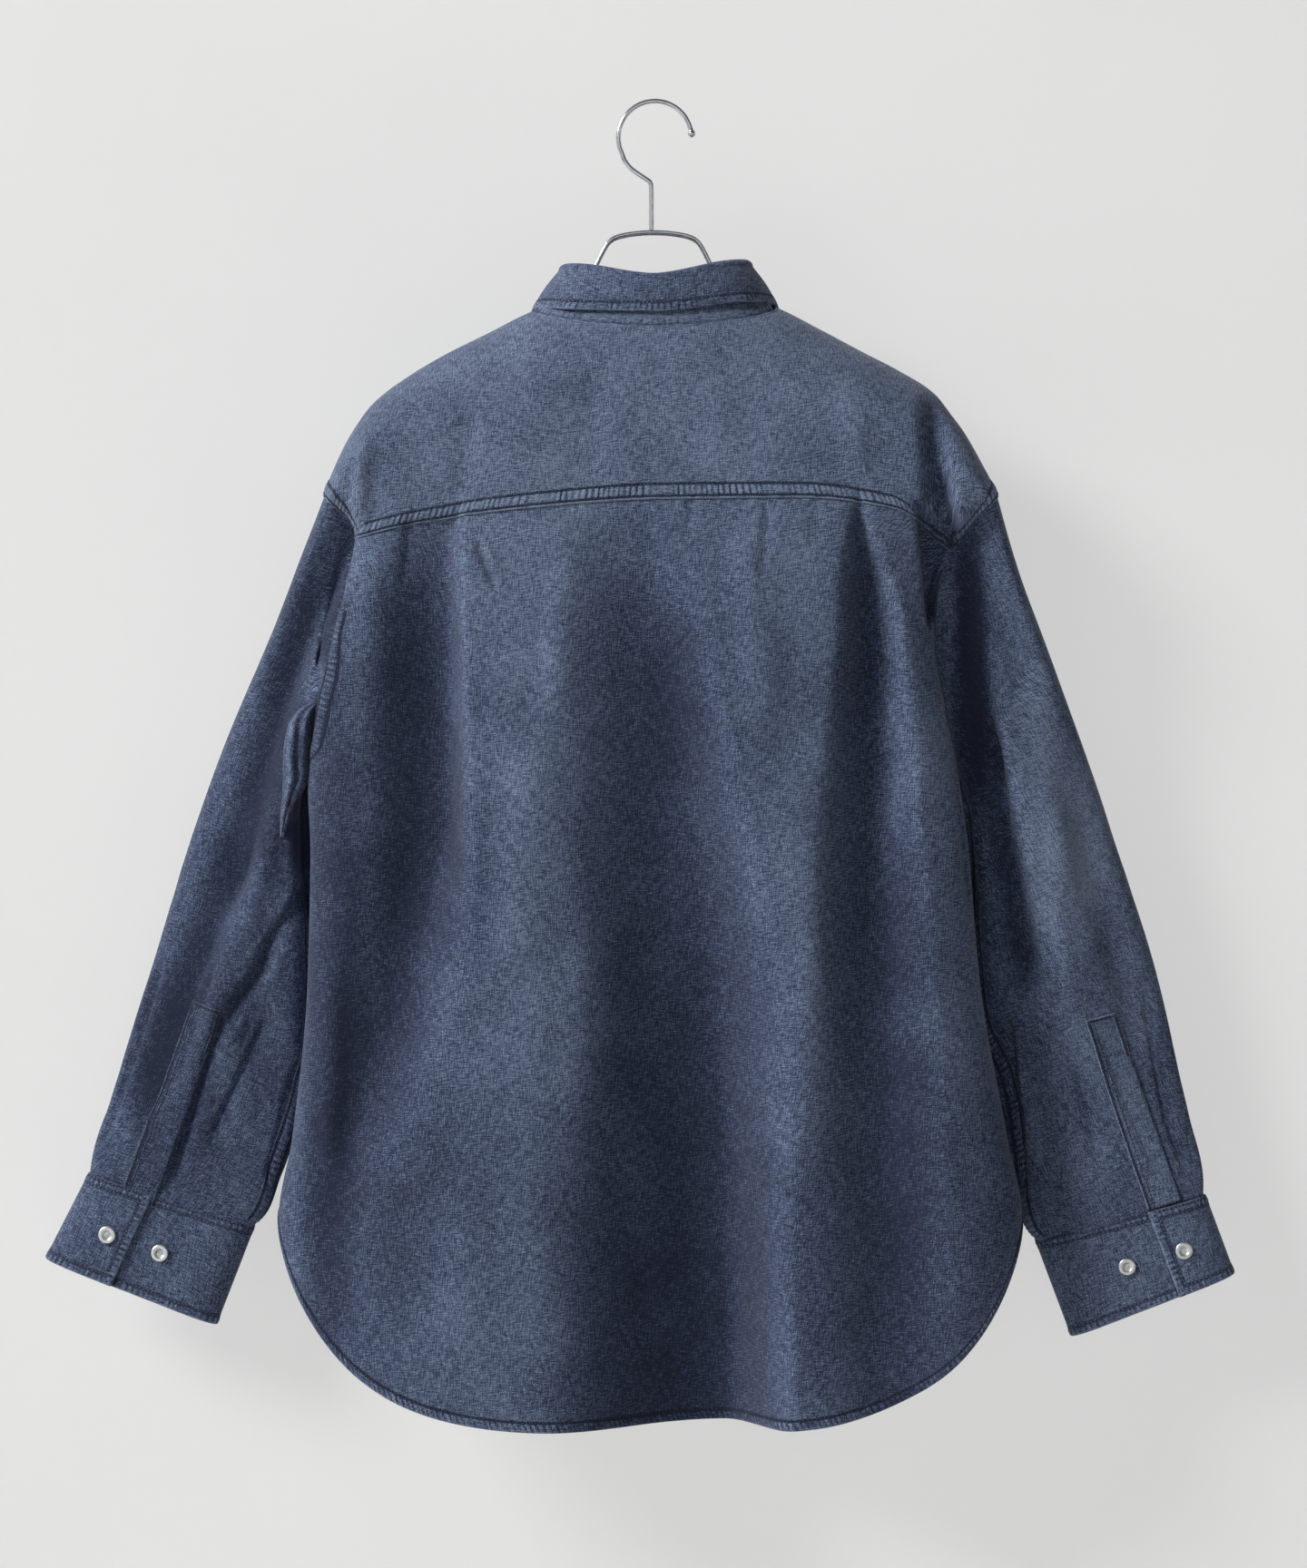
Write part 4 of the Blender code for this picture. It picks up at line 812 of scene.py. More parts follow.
def body_panel(lines, cells, rows, top, fall, crowded):
    """x and drop of a panel's points: columns along its guide lines, rows from its seam to its hem."""
    part = np.concatenate([np.full(count, k) for k, count in enumerate(cells)] + [[len(cells) - 1]])
    share = []
    for k, count in enumerate(cells):
        t = np.linspace(0, 1, count + 1)[:-1]
        if k == 0 and crowded[0]:
            t = t ** EDGE_CROWD
        if k == len(cells) - 1 and crowded[1]:
            t = 1 - (1 - t) ** EDGE_CROWD
        share.append(t)
    share = np.concatenate(share + [[1.0]])

    def place(drop):
        guides = np.stack([line(drop) for line in lines])
        at = np.broadcast_to(part, drop.shape)[None]
        low = np.take_along_axis(guides, at, 0)[0]
        high = np.take_along_axis(guides, at + 1, 0)[0]
        return low + (high - low) * share

    start = np.full(len(part), float(SHOULDER_POINT))
    end = np.full(len(part), float(NOTCH))
    for _ in range(SETTLING):
        start = 0.6 * start + 0.4 * top(place(start))
        end = 0.5 * end + 0.5 * foot_line(place(end), end, fall)
    drop = start + (end - start) * np.linspace(0, 1, rows + 1)[:, None]
    return place(drop), drop


def back_head(x):
    """The back panel's upper edge, tucked up under the yoke."""
    return read(YOKE_SEAM, "drop", x) - UNDER_SEAM


def foot_line(x, drop, fall):
    return hem_drop(across(x, np.maximum(drop, NOTCH)), fall)


def front_head(x):
    """The front's upper edge, tucked up under the yoke, then down the neck curve."""
    under_yoke = ridge(x) + FRONT_YOKE - UNDER_SEAM
    curve = np.where(np.abs(x) < NECK_HALF_WIDTH, front_fall_line(x) + NECK_SEAM, 0)
    return np.maximum(under_yoke, curve)


# The folds as the cloth shows them: on the back, sharper under the yoke and rolling over more softly below
WORN_FOLDS = {"front": FRONT_FOLDS, "back": (
    fold_table(
        (272, -128, 2, 40, 5), (309, -138, 15, 58, 14), (357, -137, 24, 66, 15),
        (418, -137, 30, 76, 17), (479, -138, 32, 80, 19), (540, -152, 31, 72, 36),
        (601, -168, 27, 60, 44), (662, -186, 20, 44, 40), (723, -210, 10, 28, 36),
        (893, -226, 0, 24, 40),
    ),
    fold_table(
        (272, -14, 2, 50, 40), (309, -8, 7, 54, 42), (357, 2, 14, 68, 40), (418, 12, 23, 84, 40),
        (479, 22, 30, 98, 44), (540, 33, 36, 110, 48), (601, 40, 41, 118, 52), (662, 42, 47, 124, 52),
        (723, 44, 53, 126, 50), (785, 47, 57, 128, 48), (893, 48, 62, 130, 46),
    ),
    fold_table(
        (268, 135.5, 3, 4, 4), (290, 136.5, 13, 9, 10), (327, 142, 23, 22, 20), (357, 145, 26, 26, 24),
        (418, 147, 28, 36, 30), (479, 148, 29, 42, 33), (540, 150, 27, 48, 37), (601, 151, 25, 52, 40),
        (662, 152, 22, 54, 44), (723, 154, 19, 56, 44), (785, 160, 16, 58, 44), (893, 164, 12, 58, 44),
    ),
)}


def back_grid():
    folds = [guide_line(fold, "x") for fold in WORN_FOLDS["back"]]
    lines = [guide_line(BODY, "left"), *folds, guide_line(BODY, "right")]
    x, drop = body_panel(lines, BACK_COLUMNS, BACK_LINES_DOWN, back_head, BACK_HEM_FALL, (True, True))
    return spot(x, -body_depth("back", x, drop), drop)


def front_grid(side):
    """A front; the left one carries on under the right one's band."""
    neck = fixed_line(neck_edge(side, FRONT_YOKE))
    if side < 0:
        lines = [guide_line(BODY, "left"), neck, fixed_line(LAP_LINES[0]), fixed_line(LAP_LINES[2])]
    else:
        lines = [fixed_line(-LAP), neck, guide_line(BODY, "right")]
    crowded = (side < 0, side > 0)
    x, drop = body_panel(lines, FRONT_COLUMNS[side], FRONT_LINES_DOWN, front_head, FRONT_HEM_FALL, crowded)
    y = body_depth("front", x, drop) - (SHELL - YOKE_PROUD)
    if side < 0:
        y = y - UNDERLAP * ease((x - LAP_LINES[0]) / (LAP_LINES[1] - LAP_LINES[0]))
    return spot(x, y, drop)


# ---------------------------------------------------------------- yoke

YOKE_COLUMNS = (54, 210, 54)
YOKE_ROWS = 64


def chart_point(x, q):
    """Yoke chart: q is the root of the fall below the shoulder line, negative at the back."""
    drop = ridge(x) + q * q
    back = -body_depth("back", x, drop) - YOKE_PROUD
    front = body_depth("front", x, drop) + YOKE_PROUD
    blend = ease((q + 0.6) / 1.2)
    return spot(x, back * (1 - blend) + front * blend, drop)


def yoke_grid():
    """A fan from the neck edge to the outer edge: armhole, back seam and armhole."""
    front_q = math.sqrt(FRONT_YOKE)
    rims = {}
    for _, edge in SIDES:
        corner = SHOULDER_POINT
        for _ in range(SETTLING):
            corner = float(read(YOKE_SEAM, "drop", read(BODY, edge, corner)))
        front = np.linspace(front_corner_drop(edge), SHOULDER_POINT, 8)
        back = np.linspace(SHOULDER_POINT, corner, 12)[1:]
        x, drop = read(BODY, edge, np.r_[front, back]), np.r_[front, back]
        sign = np.r_[np.ones_like(front), -np.ones_like(back)]
        rims[edge] = resample(np.stack([x, chart_q(x, drop, sign)], -1), YOKE_COLUMNS[0] + 1)
    xs = np.linspace(rims["left"][-1, 0], rims["right"][-1, 0], YOKE_COLUMNS[1] + 1)
    seam = np.stack([xs, chart_q(xs, read(YOKE_SEAM, "drop", xs), -1)], -1)
    outer = np.concatenate([rims["left"][:-1], seam, rims["right"][::-1][1:]])
    inner = resample(neck_rim(), len(outer))
    steps = np.linspace(0, 1, YOKE_ROWS + 1)[:, None, None]
    plan = inner[None] * (1 - steps) + outer[None] * steps
    for column, side in ((0, -1), (-1, 1)):
        start = neck_edge(side, FRONT_YOKE)
        plan[:, column, 0] = start + (outer[column, 0] - start) * steps[:, 0, 0]
        plan[:, column, 1] = front_q
    return chart_point(plan[..., 0], plan[..., 1])


def yoke_uv(grid):
    """Straight threads down the back; over the shoulder line they carry on down the front."""
    x, y, drop = grid[..., 0], grid[..., 1], -grid[..., 2]
    down = np.where(y < 0, y - drop, y + drop - 2 * ridge(x))
    return x / 10, -down / 10


# ---------------------------------------------------------------- collar

COLLAR_COLUMNS = 240
LEAF_LINES = 29
STAND_LINES = 14
# Behind the neck the leaf lies this much closer than in front; it opens out before this turn
LEAF_CLOSE = 11.6
LEAF_OPEN = 120
LEAF_OPEN_EASE = 50
LEAF_LIFT = 2.2
LEAF_RIPPLE = 0.5
# How far the collar's fold sags, from the back of the neck to the front
COLLAR_DIP = table("turn dip", (0, 4.2), (25, 3.6), (60, 2.2), (110, 1.4), (150, 0.0), (180, 0.0))


def worn_top(turns):
    """The collar's fold, which sags a little at the back of the neck."""
    dip = read(COLLAR_DIP, "dip", np.abs(turns))[..., None]
    return collar_curve("top", turns) - dip * np.array((0, 0, 1.0))


def stand_grid():
    """The stand, from the neck seam up to the fold; in front its ends lap."""
    turns = np.linspace(-180 - STAND_LAP, 180 + STAND_LAP, COLLAR_COLUMNS)
    wrapped = np.clip(turns, -180, 180)
    past = np.radians(turns - wrapped)[:, None] * FRONT_CURVE
    side = past * np.array((-1.0, 0, 0))
    lapped = ease((np.abs(turns) - LAP_TURN) / LAP_EASE) * np.sign(turns)
    shift = (LAP_SHIFT * lapped)[:, None] * np.array((0, 1.0, 0))
    steps = np.linspace(0, 1, STAND_LINES)[:, None, None]
    return (neck_point(wrapped) + side) * (1 - steps) + (worn_top(wrapped) + side) * steps + shift


def leaf_grid():
    """The leaf: it rolls over the stand's top, then falls clear of the body."""
    turns = np.linspace(-FALL_START, FALL_START, COLLAR_COLUMNS)
    top = worn_top(turns)
    out = outward(turns)
    up = np.cross(out, collar_curve("top", turns + 2) - collar_curve("top", turns - 2))
    up *= np.sign(up[:, 2:]) / np.linalg.norm(up, axis=-1, keepdims=True)
    lines = np.linspace(0, LEAF_ROLL["line"][-1], LEAF_LINES // 3)
    rows = [top + up * read(LEAF_ROLL, "up", at) + out * read(LEAF_ROLL, "out", at) for at in lines]
    start = rows[-1]
    close = LEAF_CLOSE * ease((LEAF_OPEN - np.abs(turns)) / LEAF_OPEN_EASE)[:, None]
    fall = collar_curve("fall", turns) + out * (FALL_ROLL - close)
    for f in np.linspace(0, 1, LEAF_LINES - len(rows) + 1)[1:]:
        rows.append(start * (1 - f) + fall * f + out * LEAF_BELLY * math.sin(math.pi * f))
    grid = clear_of_body(np.stack(rows), LEAF_LIFT)
    ripple = LEAF_RIPPLE * noise(turns / 14, np.zeros_like(turns), 51)
    return grid + ripple[None, :, None] * np.linspace(0, 1, len(rows))[:, None, None] * out


# ---------------------------------------------------------------- sleeves and cuffs

SLEEVE_LINES = 164
SLEEVE_COLUMNS = 120
# Millimetres of cloth to a degree round the sleeve, and the two sides' seeds
SLEEVE_ARC = 1.5
SLEEVE_SEED = {-1: 71, 1: 91}
# The part of a crease that also shows in front
CREASE_THROUGH = 0.6
# The head lies this far below the body's cloth
HEAD_SINK = 0.2
# The foot: how square it is, its half depth, and how much wider it swells above the cuff
SQUARE_FOOT = 0.5
FOOT_DEPTH = 12.4
FOOT_WIDEN = 0.07
# In front, near its inner edge, the sleeve reaches in towards the body: the angle, its width, and how far
BACKING_ANGLE = -155
BACKING_REACH = 32
SLEEVE_BACKING = 11
# Parts of the sleeve's length: where the relief fades at the head and the foot, and where the tube starts
# to flatten, to turn square and to end its reach to the body, with the length that each takes
HEAD_FADE = 0.06
FOOT_FADE = 0.03
FLATTENS = (0.55, 0.35)
SQUARES = (0.9, 0.085)
BACKING_ENDS = (0.62, 0.2)
# The front's unevenness is taken from another place than the back's
FRONT_WAVES = 300
# Creases on the sleeves: x and drop of both ends, height outward, and reach to either side
SLEEVE_CREASES = {
    -1: ((-198, 272, -222, 390, -15.0, 9, 11), (-222, 310, -292, 548, -13.0, 22, 20),
         (-272, 476, -354, 700, -11.0, 20, 26), (-226, 408, -247, 486, 7.0, 8, 9),
         (-226, 512, -297, 636, -8.0, 7, 9), (-288, 596, -331, 740, -6.0, 4, 9),
         (-256, 606, -302, 708, -5.0, 5, 7), (-328, 556, -379, 722, -4.5, 2, 6),
         (-262, 560, -290, 640, 3.0, 8, 9), (-300, 560, -334, 664, 3.0, 9, 8),
         (-240, 640, -262, 740, -3.0, 6, 7), (-338, 640, -352, 716, -3.0, 6, 5),
         (-240, 520, -262, 600, 3.0, 8, 9)),
    1: ((206, 280, 226, 470, -17.0, 15, 18), (220, 420, 252, 610, -13.0, 13, 18),
        (250, 360, 286, 540, 4.0, 16, 18), (296, 500, 330, 640, -1.6, 12, 12),
        (262, 520, 300, 680, 2.6, 10, 12), (290, 620, 335, 736, 3.2, 7, 8),
        (232, 600, 246, 752, -9.0, 8, 12), (246, 640, 268, 744, 2.8, 7, 8),
        (284, 640, 300, 720, -4.0, 8, 8), (340, 640, 358, 724, -3.0, 4, 6),
        (328, 580, 350, 700, -2.6, 4, 6)),
}


def sleeve_surface(side, along, angle):
    """The sleeve with its creases; its foot is squared off and swells to meet the cuff."""
    point = sleeve_point(side, along, angle)
    centre = sleeve_centre(side, along)
    out = unit(point - centre)
    height = np.sin(np.radians(angle))
    behind = ease((height + 0.05) / 0.45)
    ahead = ease((0.05 - height) / 0.45)
    depth = read(SLEEVES[side], "depth", along)
    lines = creases(SLEEVE_CREASES[side], point[..., 0], -point[..., 2])
    round_it, down = np.abs(angle) * SLEEVE_ARC, along * SLEEVE_LENGTH
    soft = wrinkle(round_it, down, SLEEVE_SEED[side]) * ease(height / 0.3 + 0.5)
    soft = soft + wrinkle(round_it + FRONT_WAVES, down, SLEEVE_SEED[side]) * ease(0.5 - height / 0.3)
    relief = lines * (behind + CREASE_THROUGH * ahead) + soft
    point = point + out * (relief * ease(along / HEAD_FADE) * ease((1 - along) / FOOT_FADE))[..., None]
    flat = ease((along - FLATTENS[0]) / FLATTENS[1])
    point[..., 1] = centre[..., 1] + (point[..., 1] - centre[..., 1]) * (1 - flat + flat * FOOT_DEPTH / depth)
    square = ease((along - SQUARES[0]) / SQUARES[1])
    widen = np.maximum(np.abs(height), 0.01) ** (-SQUARE_FOOT * square)
    point[..., 1] = centre[..., 1] + (point[..., 1] - centre[..., 1]) * widen
    swell = (1 + FOOT_WIDEN * square)[..., None]
    point[..., 0::2] = centre[..., 0::2] + (point[..., 0::2] - centre[..., 0::2]) * swell
    backing = np.clip(1 - np.abs((angle - BACKING_ANGLE) / BACKING_REACH), 0, 1)
    backing = backing * ease(along / 0.05) * ease((BACKING_ENDS[0] - along) / BACKING_ENDS[1])
    point[..., 0] -= side * SLEEVE_BACKING * ease(backing)
    return point - out * (HEAD_SINK * (1 - ease(along / 0.04)))[..., None]


# Paler and darker patches of the sleeves, x, drop, reach across, reach down, and how much paler: the pale
# ones washed, the dark ones painted shade in folds, under the arm and beside the body
SLEEVE_PATCHES = {
    -1: ((-306, 640, 60, 110, -0.42), (-240, 440, 24, 60, -0.3), (-236, 488, 13, 38, -1.3),
         (-287, 662, 18, 54, 0.55), (-356, 690, 26, 50, 0.16), (-256, 479, 22, 64, -0.35)),
    1: ((213, 400, 16, 150, -0.9), (250, 450, 26, 70, 0.12), (276, 528, 34, 74, 0.5), (292, 476, 26, 74, 0.4),
        (301, 522, 22, 60, 0.32), (262, 420, 30, 130, 0.2), (330, 590, 30, 90, 0.3),
        (287, 711, 28, 44, 0.25)),
}
# How much paler or darker than the roll of cloth each placket and sleeve is; the left sleeve's darker tone is
# painted shade
PLACKET_TONE = {-1: -0.42, 1: 0.06}
SLEEVE_TONE = {-1: -0.5, 1: -0.26}


def sleeve_shade_and_wear(side, point):
    """A sleeve's tone, clouds in the dye and paler and darker patches, with creases painted darker and ridges
    lighter as painted shade.
    """
    x = point[..., 0]
    drop = -point[..., 2]
    lines = np.clip(creases(SLEEVE_CREASES[side], x, drop), -12, 4)
    total = SLEEVE_TONE[side] + CREASE_SHADE * lines + clouds(SLEEVE_CLOUDS, x, drop)
    return total + patches(SLEEVE_PATCHES[side], x, drop)


def sleeve_uv(grid):
    """Straight threads down the sleeve, measured out from the column in the middle of its back."""
    top = grid[: SLEEVE_LINES // 3, SLEEVE_COLUMNS // 4].mean(0)
    foot = grid[-SLEEVE_LINES // 6 :, SLEEVE_COLUMNS // 4].mean(0)
    axis = unit((foot - top) * (1, 0, 1))
    return grain(grid, axis, (axis[2], 0, -axis[0]), SLEEVE_COLUMNS // 4)


def sleeve_grid(side):
    """The tube's points, with lines crowded towards its head, and their directions outward."""
    alongs = np.linspace(0, 1, SLEEVE_LINES) ** 1.1
    angles = np.arange(0, 360, 360 / SLEEVE_COLUMNS)
    along, angle = np.meshgrid(alongs, angles, indexing="ij")
    angle = np.where(angle > 180, angle - 360, angle)
    point = sleeve_surface(side, along, angle)
    return point, point - sleeve_centre(side, along)


CUFF_SPAN = 170
CUFF_LINES = 30
CUFF_UNEVEN = 0.5


def cuff_grid(cuff):
    """A cuff: from its lap's edge round the outer end, along the front and back under the lap."""
    lap = cuff["lap"]
    rest = 1 - lap + CUFF_LAP / CUFF_WIDTH
    total = lap + 1 + rest
    run = np.linspace(0, total, CUFF_SPAN)
    first = np.sin(np.clip(run / lap, 0, 1) * math.pi / 2)
    second = 0.5 - 0.5 * np.cos(np.clip(run - lap, 0, 1) * math.pi)
    third = 1 - np.cos(np.clip((run - lap - 1) / rest, 0, 1) * math.pi / 2)
    front = (run > lap) & (run <= lap + 1)
    place = np.where(run <= lap, lap * (1 - first), np.where(front, second, 1 - rest * third))
    layer = CUFF_LAYER * (1 - 2 * run / total)
    down = np.linspace(0, 1, CUFF_LINES)[:, None]
    outer, inner = (np.stack(ends) for ends in zip(*[cuff_line(cuff, d) for d in down[:, 0]]))
    stretch = 0.5 + (place - 0.5) * (1 + 2 * layer / CUFF_WIDTH)
    flat = outer[:, None] * (1 - stretch)[None, :, None] + inner[:, None] * stretch[None, :, None]
    uneven = CUFF_UNEVEN * noise(run * 9, np.zeros_like(run), int(61 + 100 * lap))
    depth = cuff_depth(place, down, layer) + uneven * cuff_rounding(place)
    y = np.where(front, CUFF_Y + depth, CUFF_Y - depth)
    return np.stack([flat[..., 0], y, flat[..., 1]], -1)


# Sleeve plackets: x and drop of the corners at the top and at the cuff, and their cells down and across
PLACKET_SHAPE = 90, 18
PLACKETS = {-1: ((-310.5, 604.5), (-291.5, 610.5), (-357, 729), (-335.5, 738)),
            1: ((290.5, 617), (311, 612), (333.5, 745), (355.5, 738))}
PLACKET_LIFT = 1.3
SEARCH_ROUNDS = 40


def sleeve_place(side, x, drop):
    """Along and angle of the point on a sleeve's back that shows at x and drop."""
    along = np.full(x.shape, 0.85)
    angle = np.full(x.shape, 80.0)
    for _ in range(SEARCH_ROUNDS):
        here = sleeve_surface(side, along, angle)
        by_along = (sleeve_surface(side, along + 0.002, angle) - here) / 0.002
        by_angle = (sleeve_surface(side, along, angle + 0.5) - here) / 0.5
        miss_x = x - here[..., 0]
        miss_z = -drop - here[..., 2]
        area = by_along[..., 0] * by_angle[..., 2] - by_angle[..., 0] * by_along[..., 2]
        area = np.where(np.abs(area) < 1e-3, 1e-3, area)
        step_along = (miss_x * by_angle[..., 2] - miss_z * by_angle[..., 0]) / area
        step_angle = (miss_z * by_along[..., 0] - miss_x * by_along[..., 2]) / area
        along = np.clip(along + np.clip(0.6 * step_along, -0.03, 0.03), 0.3, 0.999)
        angle = np.clip(angle + np.clip(0.6 * step_angle, -6, 6), 8, 172)
    return along, angle


def placket_grid(side):
    """A strip that lies on the sleeve's own surface, between four corners."""
    corner = np.array(PLACKETS[side], float)
    down = np.linspace(0, 1, PLACKET_SHAPE[0])[:, None, None]
    over = np.linspace(0, 1, PLACKET_SHAPE[1])[None, :, None]
    flat = ((corner[0] * (1 - over) + corner[1] * over) * (1 - down)
            + (corner[2] * (1 - over) + corner[3] * over) * down)
    y = sleeve_surface(side, *sleeve_place(side, flat[..., 0], flat[..., 1]))[..., 1]
    # Evened out along the strip, over five lines
    wide = np.concatenate([y[:1]] * 2 + [y] + [y[-1:]] * 2)
    y = sum(wide[k : k + len(y)] for k in range(5)) / 5
    return np.stack([flat[..., 0], y, -flat[..., 1]], -1)


# ---------------------------------------------------------------- seams and stitches

SHEETS = {}
STITCHES = {}
STITCH_PITCH = 2.8
STITCH_LENGTH = 2.15
STITCH_WIDTH = 0.95
# A stitch's rings: place along it, size, and how deep they sink
STITCH_RINGS = ((-0.5, 0.45, 0.28), (-0.22, 1.0, 0.0), (0.22, 1.0, 0.0), (0.5, 0.45, 0.28))
ROPE_PITCH = 3.9
# Grid lines in from an edge that its seams can lie on, and the drops between which one is laid flat
EDGE_REACH = 26
FLAT_FROM = 352
FLAT_TO = 450
ROPE_HEIGHT = 0.26
ROPE_WANDER = 1.8
ROPE_TINT = 1.4
GROOVE = -1.3

# Seam profiles: distance from the edge, upper and lower height off the sheet, roping and wear
FELLED = (
    (-0.6, 0.0, -1.6, 0, 0.2), (-0.35, 0.7, -1.7, 0, 0.5), (0.2, 1.05, -1.0, 0.1, 0.8),
    (0.7, 0.9, 0.0, 0.2, -0.2), (1.05, 0.6, 0.0, 0, GROOVE), (2.0, 0.6, 0.0, 0, GROOVE),
    (2.4, 0.95, 0.0, 0.6, -0.3), (3.2, 1.2, 0.0, 1, 0.1), (4.8, 1.3, 0.0, 1, 0.15),
    (6.6, 1.25, 0.0, 1, 0.1), (8.2, 1.05, 0.0, 1, -0.1), (8.8, 0.85, 0.0, 0.6, -0.6),
    (9.1, 0.56, 0.0, 0, GROOVE), (10.15, 0.56, 0.0, 0, GROOVE), (10.6, 0.66, 0.0, 0.2, -0.5),
    (11.3, 0.42, 0.0, 0, 0.0),
)
# The same seam with less roping and no pale edge, on the armholes and under the arms
PLAIN_FELLED = tuple((at, high, low, 0.6 * rope, min(wear_and_shade, 0.1)) for at, high, low, rope, wear_and_shade in FELLED)
HEMMED = (
    (-0.7, 0.0, -1.0, 0, 0.3), (-0.4, 0.9, -1.1, 0.2, 0.5), (0.5, 1.25, -0.9, 0.5, 0.3),
    (1.6, 1.35, 0.0, 0.9, 0.0), (3.2, 1.4, 0.0, 1, 0.0), (4.6, 1.3, 0.0, 1, -0.1),
    (5.2, 0.95, 0.0, 0.4, -0.6), (5.55, 0.6, 0.0, 0, GROOVE), (6.55, 0.6, 0.0, 0, GROOVE),
    (6.95, 0.8, 0.0, 0.3, -0.4), (7.6, 0.42, 0.0, 0, 0.0),
)
TOPSTITCHED = (
    (-0.4, 0.5, -0.7, 0, 0.5), (0.3, 1.15, -0.5, 0.3, 0.55), (1.2, 1.2, 0.2, 0.6, 0.05),
    (2.6, 1.3, 0.2, 0.7, -0.05), (4.0, 1.25, 0.2, 0.7, -0.1), (4.8, 1.0, 0.2, 0.5, -0.6),
    (5.2, 0.76, 0.2, 0, GROOVE), (6.25, 0.76, 0.2, 0, GROOVE), (6.7, 0.98, 0.2, 0.4, -0.4),
    (7.6, 0.72, 0.2, 0, 0.0),
)
CUFF_TOP = (
    (-0.3, 0.5, -0.7, 0, 0.0), (0.1, 0.95, -0.5, 0.2, 0.1), (0.6, 0.76, 0.2, 0, GROOVE),
    (1.55, 0.76, 0.2, 0, GROOVE), (2.0, 1.1, 0.2, 0.5, -0.3), (3.0, 1.25, 0.2, 0.7, 0.0),
    (4.3, 1.2, 0.2, 0.7, -0.1), (5.1, 1.0, 0.2, 0.5, -0.6), (5.45, 0.76, 0.2, 0, GROOVE),
    (6.5, 0.76, 0.2, 0, GROOVE), (6.9, 0.98, 0.2, 0.4, -0.4), (7.8, 0.72, 0.2, 0, 0.0),
)
TURNED = (
    (0.3, 0.8, 0.0, 0, -1.7), (1.2, 0.8, 0.0, 0, -1.7), (2.1, 0.8, 0.0, 0, -1.7),
    (3.0, 1.1, 0.0, 0.2, -0.3), (4.8, 1.2, 0.0, 0.35, 0.05), (7.0, 1.15, 0.0, 0.3, 0.0),
    (9.0, 0.82, 0.0, 0, 0.0),
)
EDGED = (
    (-0.35, 0.35, -0.5, 0, 0.2), (0.2, 0.8, -0.3, 0.1, 0.5), (0.7, 0.75, 0.0, 0, GROOVE),
    (1.3, 0.62, 0.0, 0, GROOVE), (2.0, 0.72, 0.0, 0, GROOVE), (2.5, 0.74, 0.0, 0.2, 0.3),
    (3.1, 0.52, 0.0, 0, 0.0),
)
PIPED = (
    (0.0, 0.62, -0.6, 0.1, -0.7), (0.5, 0.8, -0.2, 0.1, -0.3), (1.2, 0.78, 0.0, 0.1, 0.25),
    (1.9, 0.42, 0.0, 0, 0.1),
)
# Rows of stitches: distance in from the edge and height off the sheet
FELLED_ROWS = ((1.45, 0.85), (9.6, 0.75))
TOP_ROW = (5.75, 0.95)
CUFF_TOP_ROWS = ((5.95, 0.95), (1.1, 0.95))
HEM_ROW = (6.1, 0.72)
STAND_ROW = (2.0, 0.9)
EDGED_ROW = (1.3, 0.8)
BOX_ROWS = ((4.6, 0.62), (27, 0.62))
BAND_ROWS = ((5.5, 0.62), (1.2, 0.62))
# Steps along a seam: in full view, under the arms and in front
STEP = 1.1
SIDE_STEP = 1.3
FRONT_STEP = 1.6


def edge_lines(node, edge, span):
    """A sheet's points, normals and values of wear and painted shade as lines that start at one edge, for a
    part of that edge.
    """
    turned = []
    for array in (SHEETS[node]["grid"], SHEETS[node]["normal"], SHEETS[node]["wear_and_shade"]):
        if edge == "top":
            array = array.swapaxes(0, 1)
        elif edge == "foot":
            array = array[::-1].swapaxes(0, 1)
        elif edge == "right":
            array = array[:, ::-1]
        elif edge != "left":
            array = np.roll(array, -edge, axis=1)
        first, last = (int(round(part * (len(array) - 1))) for part in span)
        turned.append(array[first : last + 1, :EDGE_REACH])
    return turned


def between(array, index):
    """Values at fractional places along the second axis, one set of places for each row."""
    low = np.clip(np.floor(index).astype(int), 0, array.shape[1] - 2)
    part = (index - low)[..., None]
    return (np.take_along_axis(array, low[..., None], 1) * (1 - part)
            + np.take_along_axis(array, low[..., None] + 1, 1) * part)


def edge_stations(node, edge, span, distances, step, flat=False):
    """Points, normals, run and value of wear and painted shade of evenly spaced stations along an edge, at
    distances in from it.

    Flat distances leave out the depth between two drops, so there the seam shows its width from behind.
    """
    lines, normals, wear_and_shade_lines = edge_lines(node, edge, span)
    step_along = np.diff(lines, axis=1)
    if flat:
        drop = -lines[:, 1:, 2]
        step_along[..., 1] *= 1 - ease((drop - FLAT_FROM) / 40) * ease((FLAT_TO - drop) / 26)
    length = np.linalg.norm(step_along, axis=-1)
    run = np.concatenate([np.zeros((len(lines), 1)), np.cumsum(length, axis=1)], axis=1)
    places = np.arange(lines.shape[1])
    index = np.stack([np.interp(distances, row, places) for row in run])
    points = between(lines, index)
    normal = between(normals, index)
    wear_and_shade = between(wear_and_shade_lines, index)
    past = np.minimum(np.asarray(distances, float), 0)[None, :, None]
    points = points + (lines[:, 1:2] - lines[:, :1]) / np.maximum(length[:, :1, None], 1e-6) * past
    run = run_of(points[:, len(distances) // 2])
    stations = np.linspace(0, run[-1], max(2, int(round(run[-1] / step)) + 1))
    index = np.interp(stations, run, np.arange(len(run)))[None]
    points, normal, wear_and_shade = (
        between(array.reshape(1, len(run), -1), index)[0].reshape(-1, len(distances), array.shape[-1])
        for array in (points, normal, wear_and_shade))
    return points, unit(normal), stations, wear_and_shade[..., 0]


def sewn_on(piece, node):
    """Adds a piece to its sheet's list of pieces sewn on."""
    SHEETS[node]["with"].append(piece)


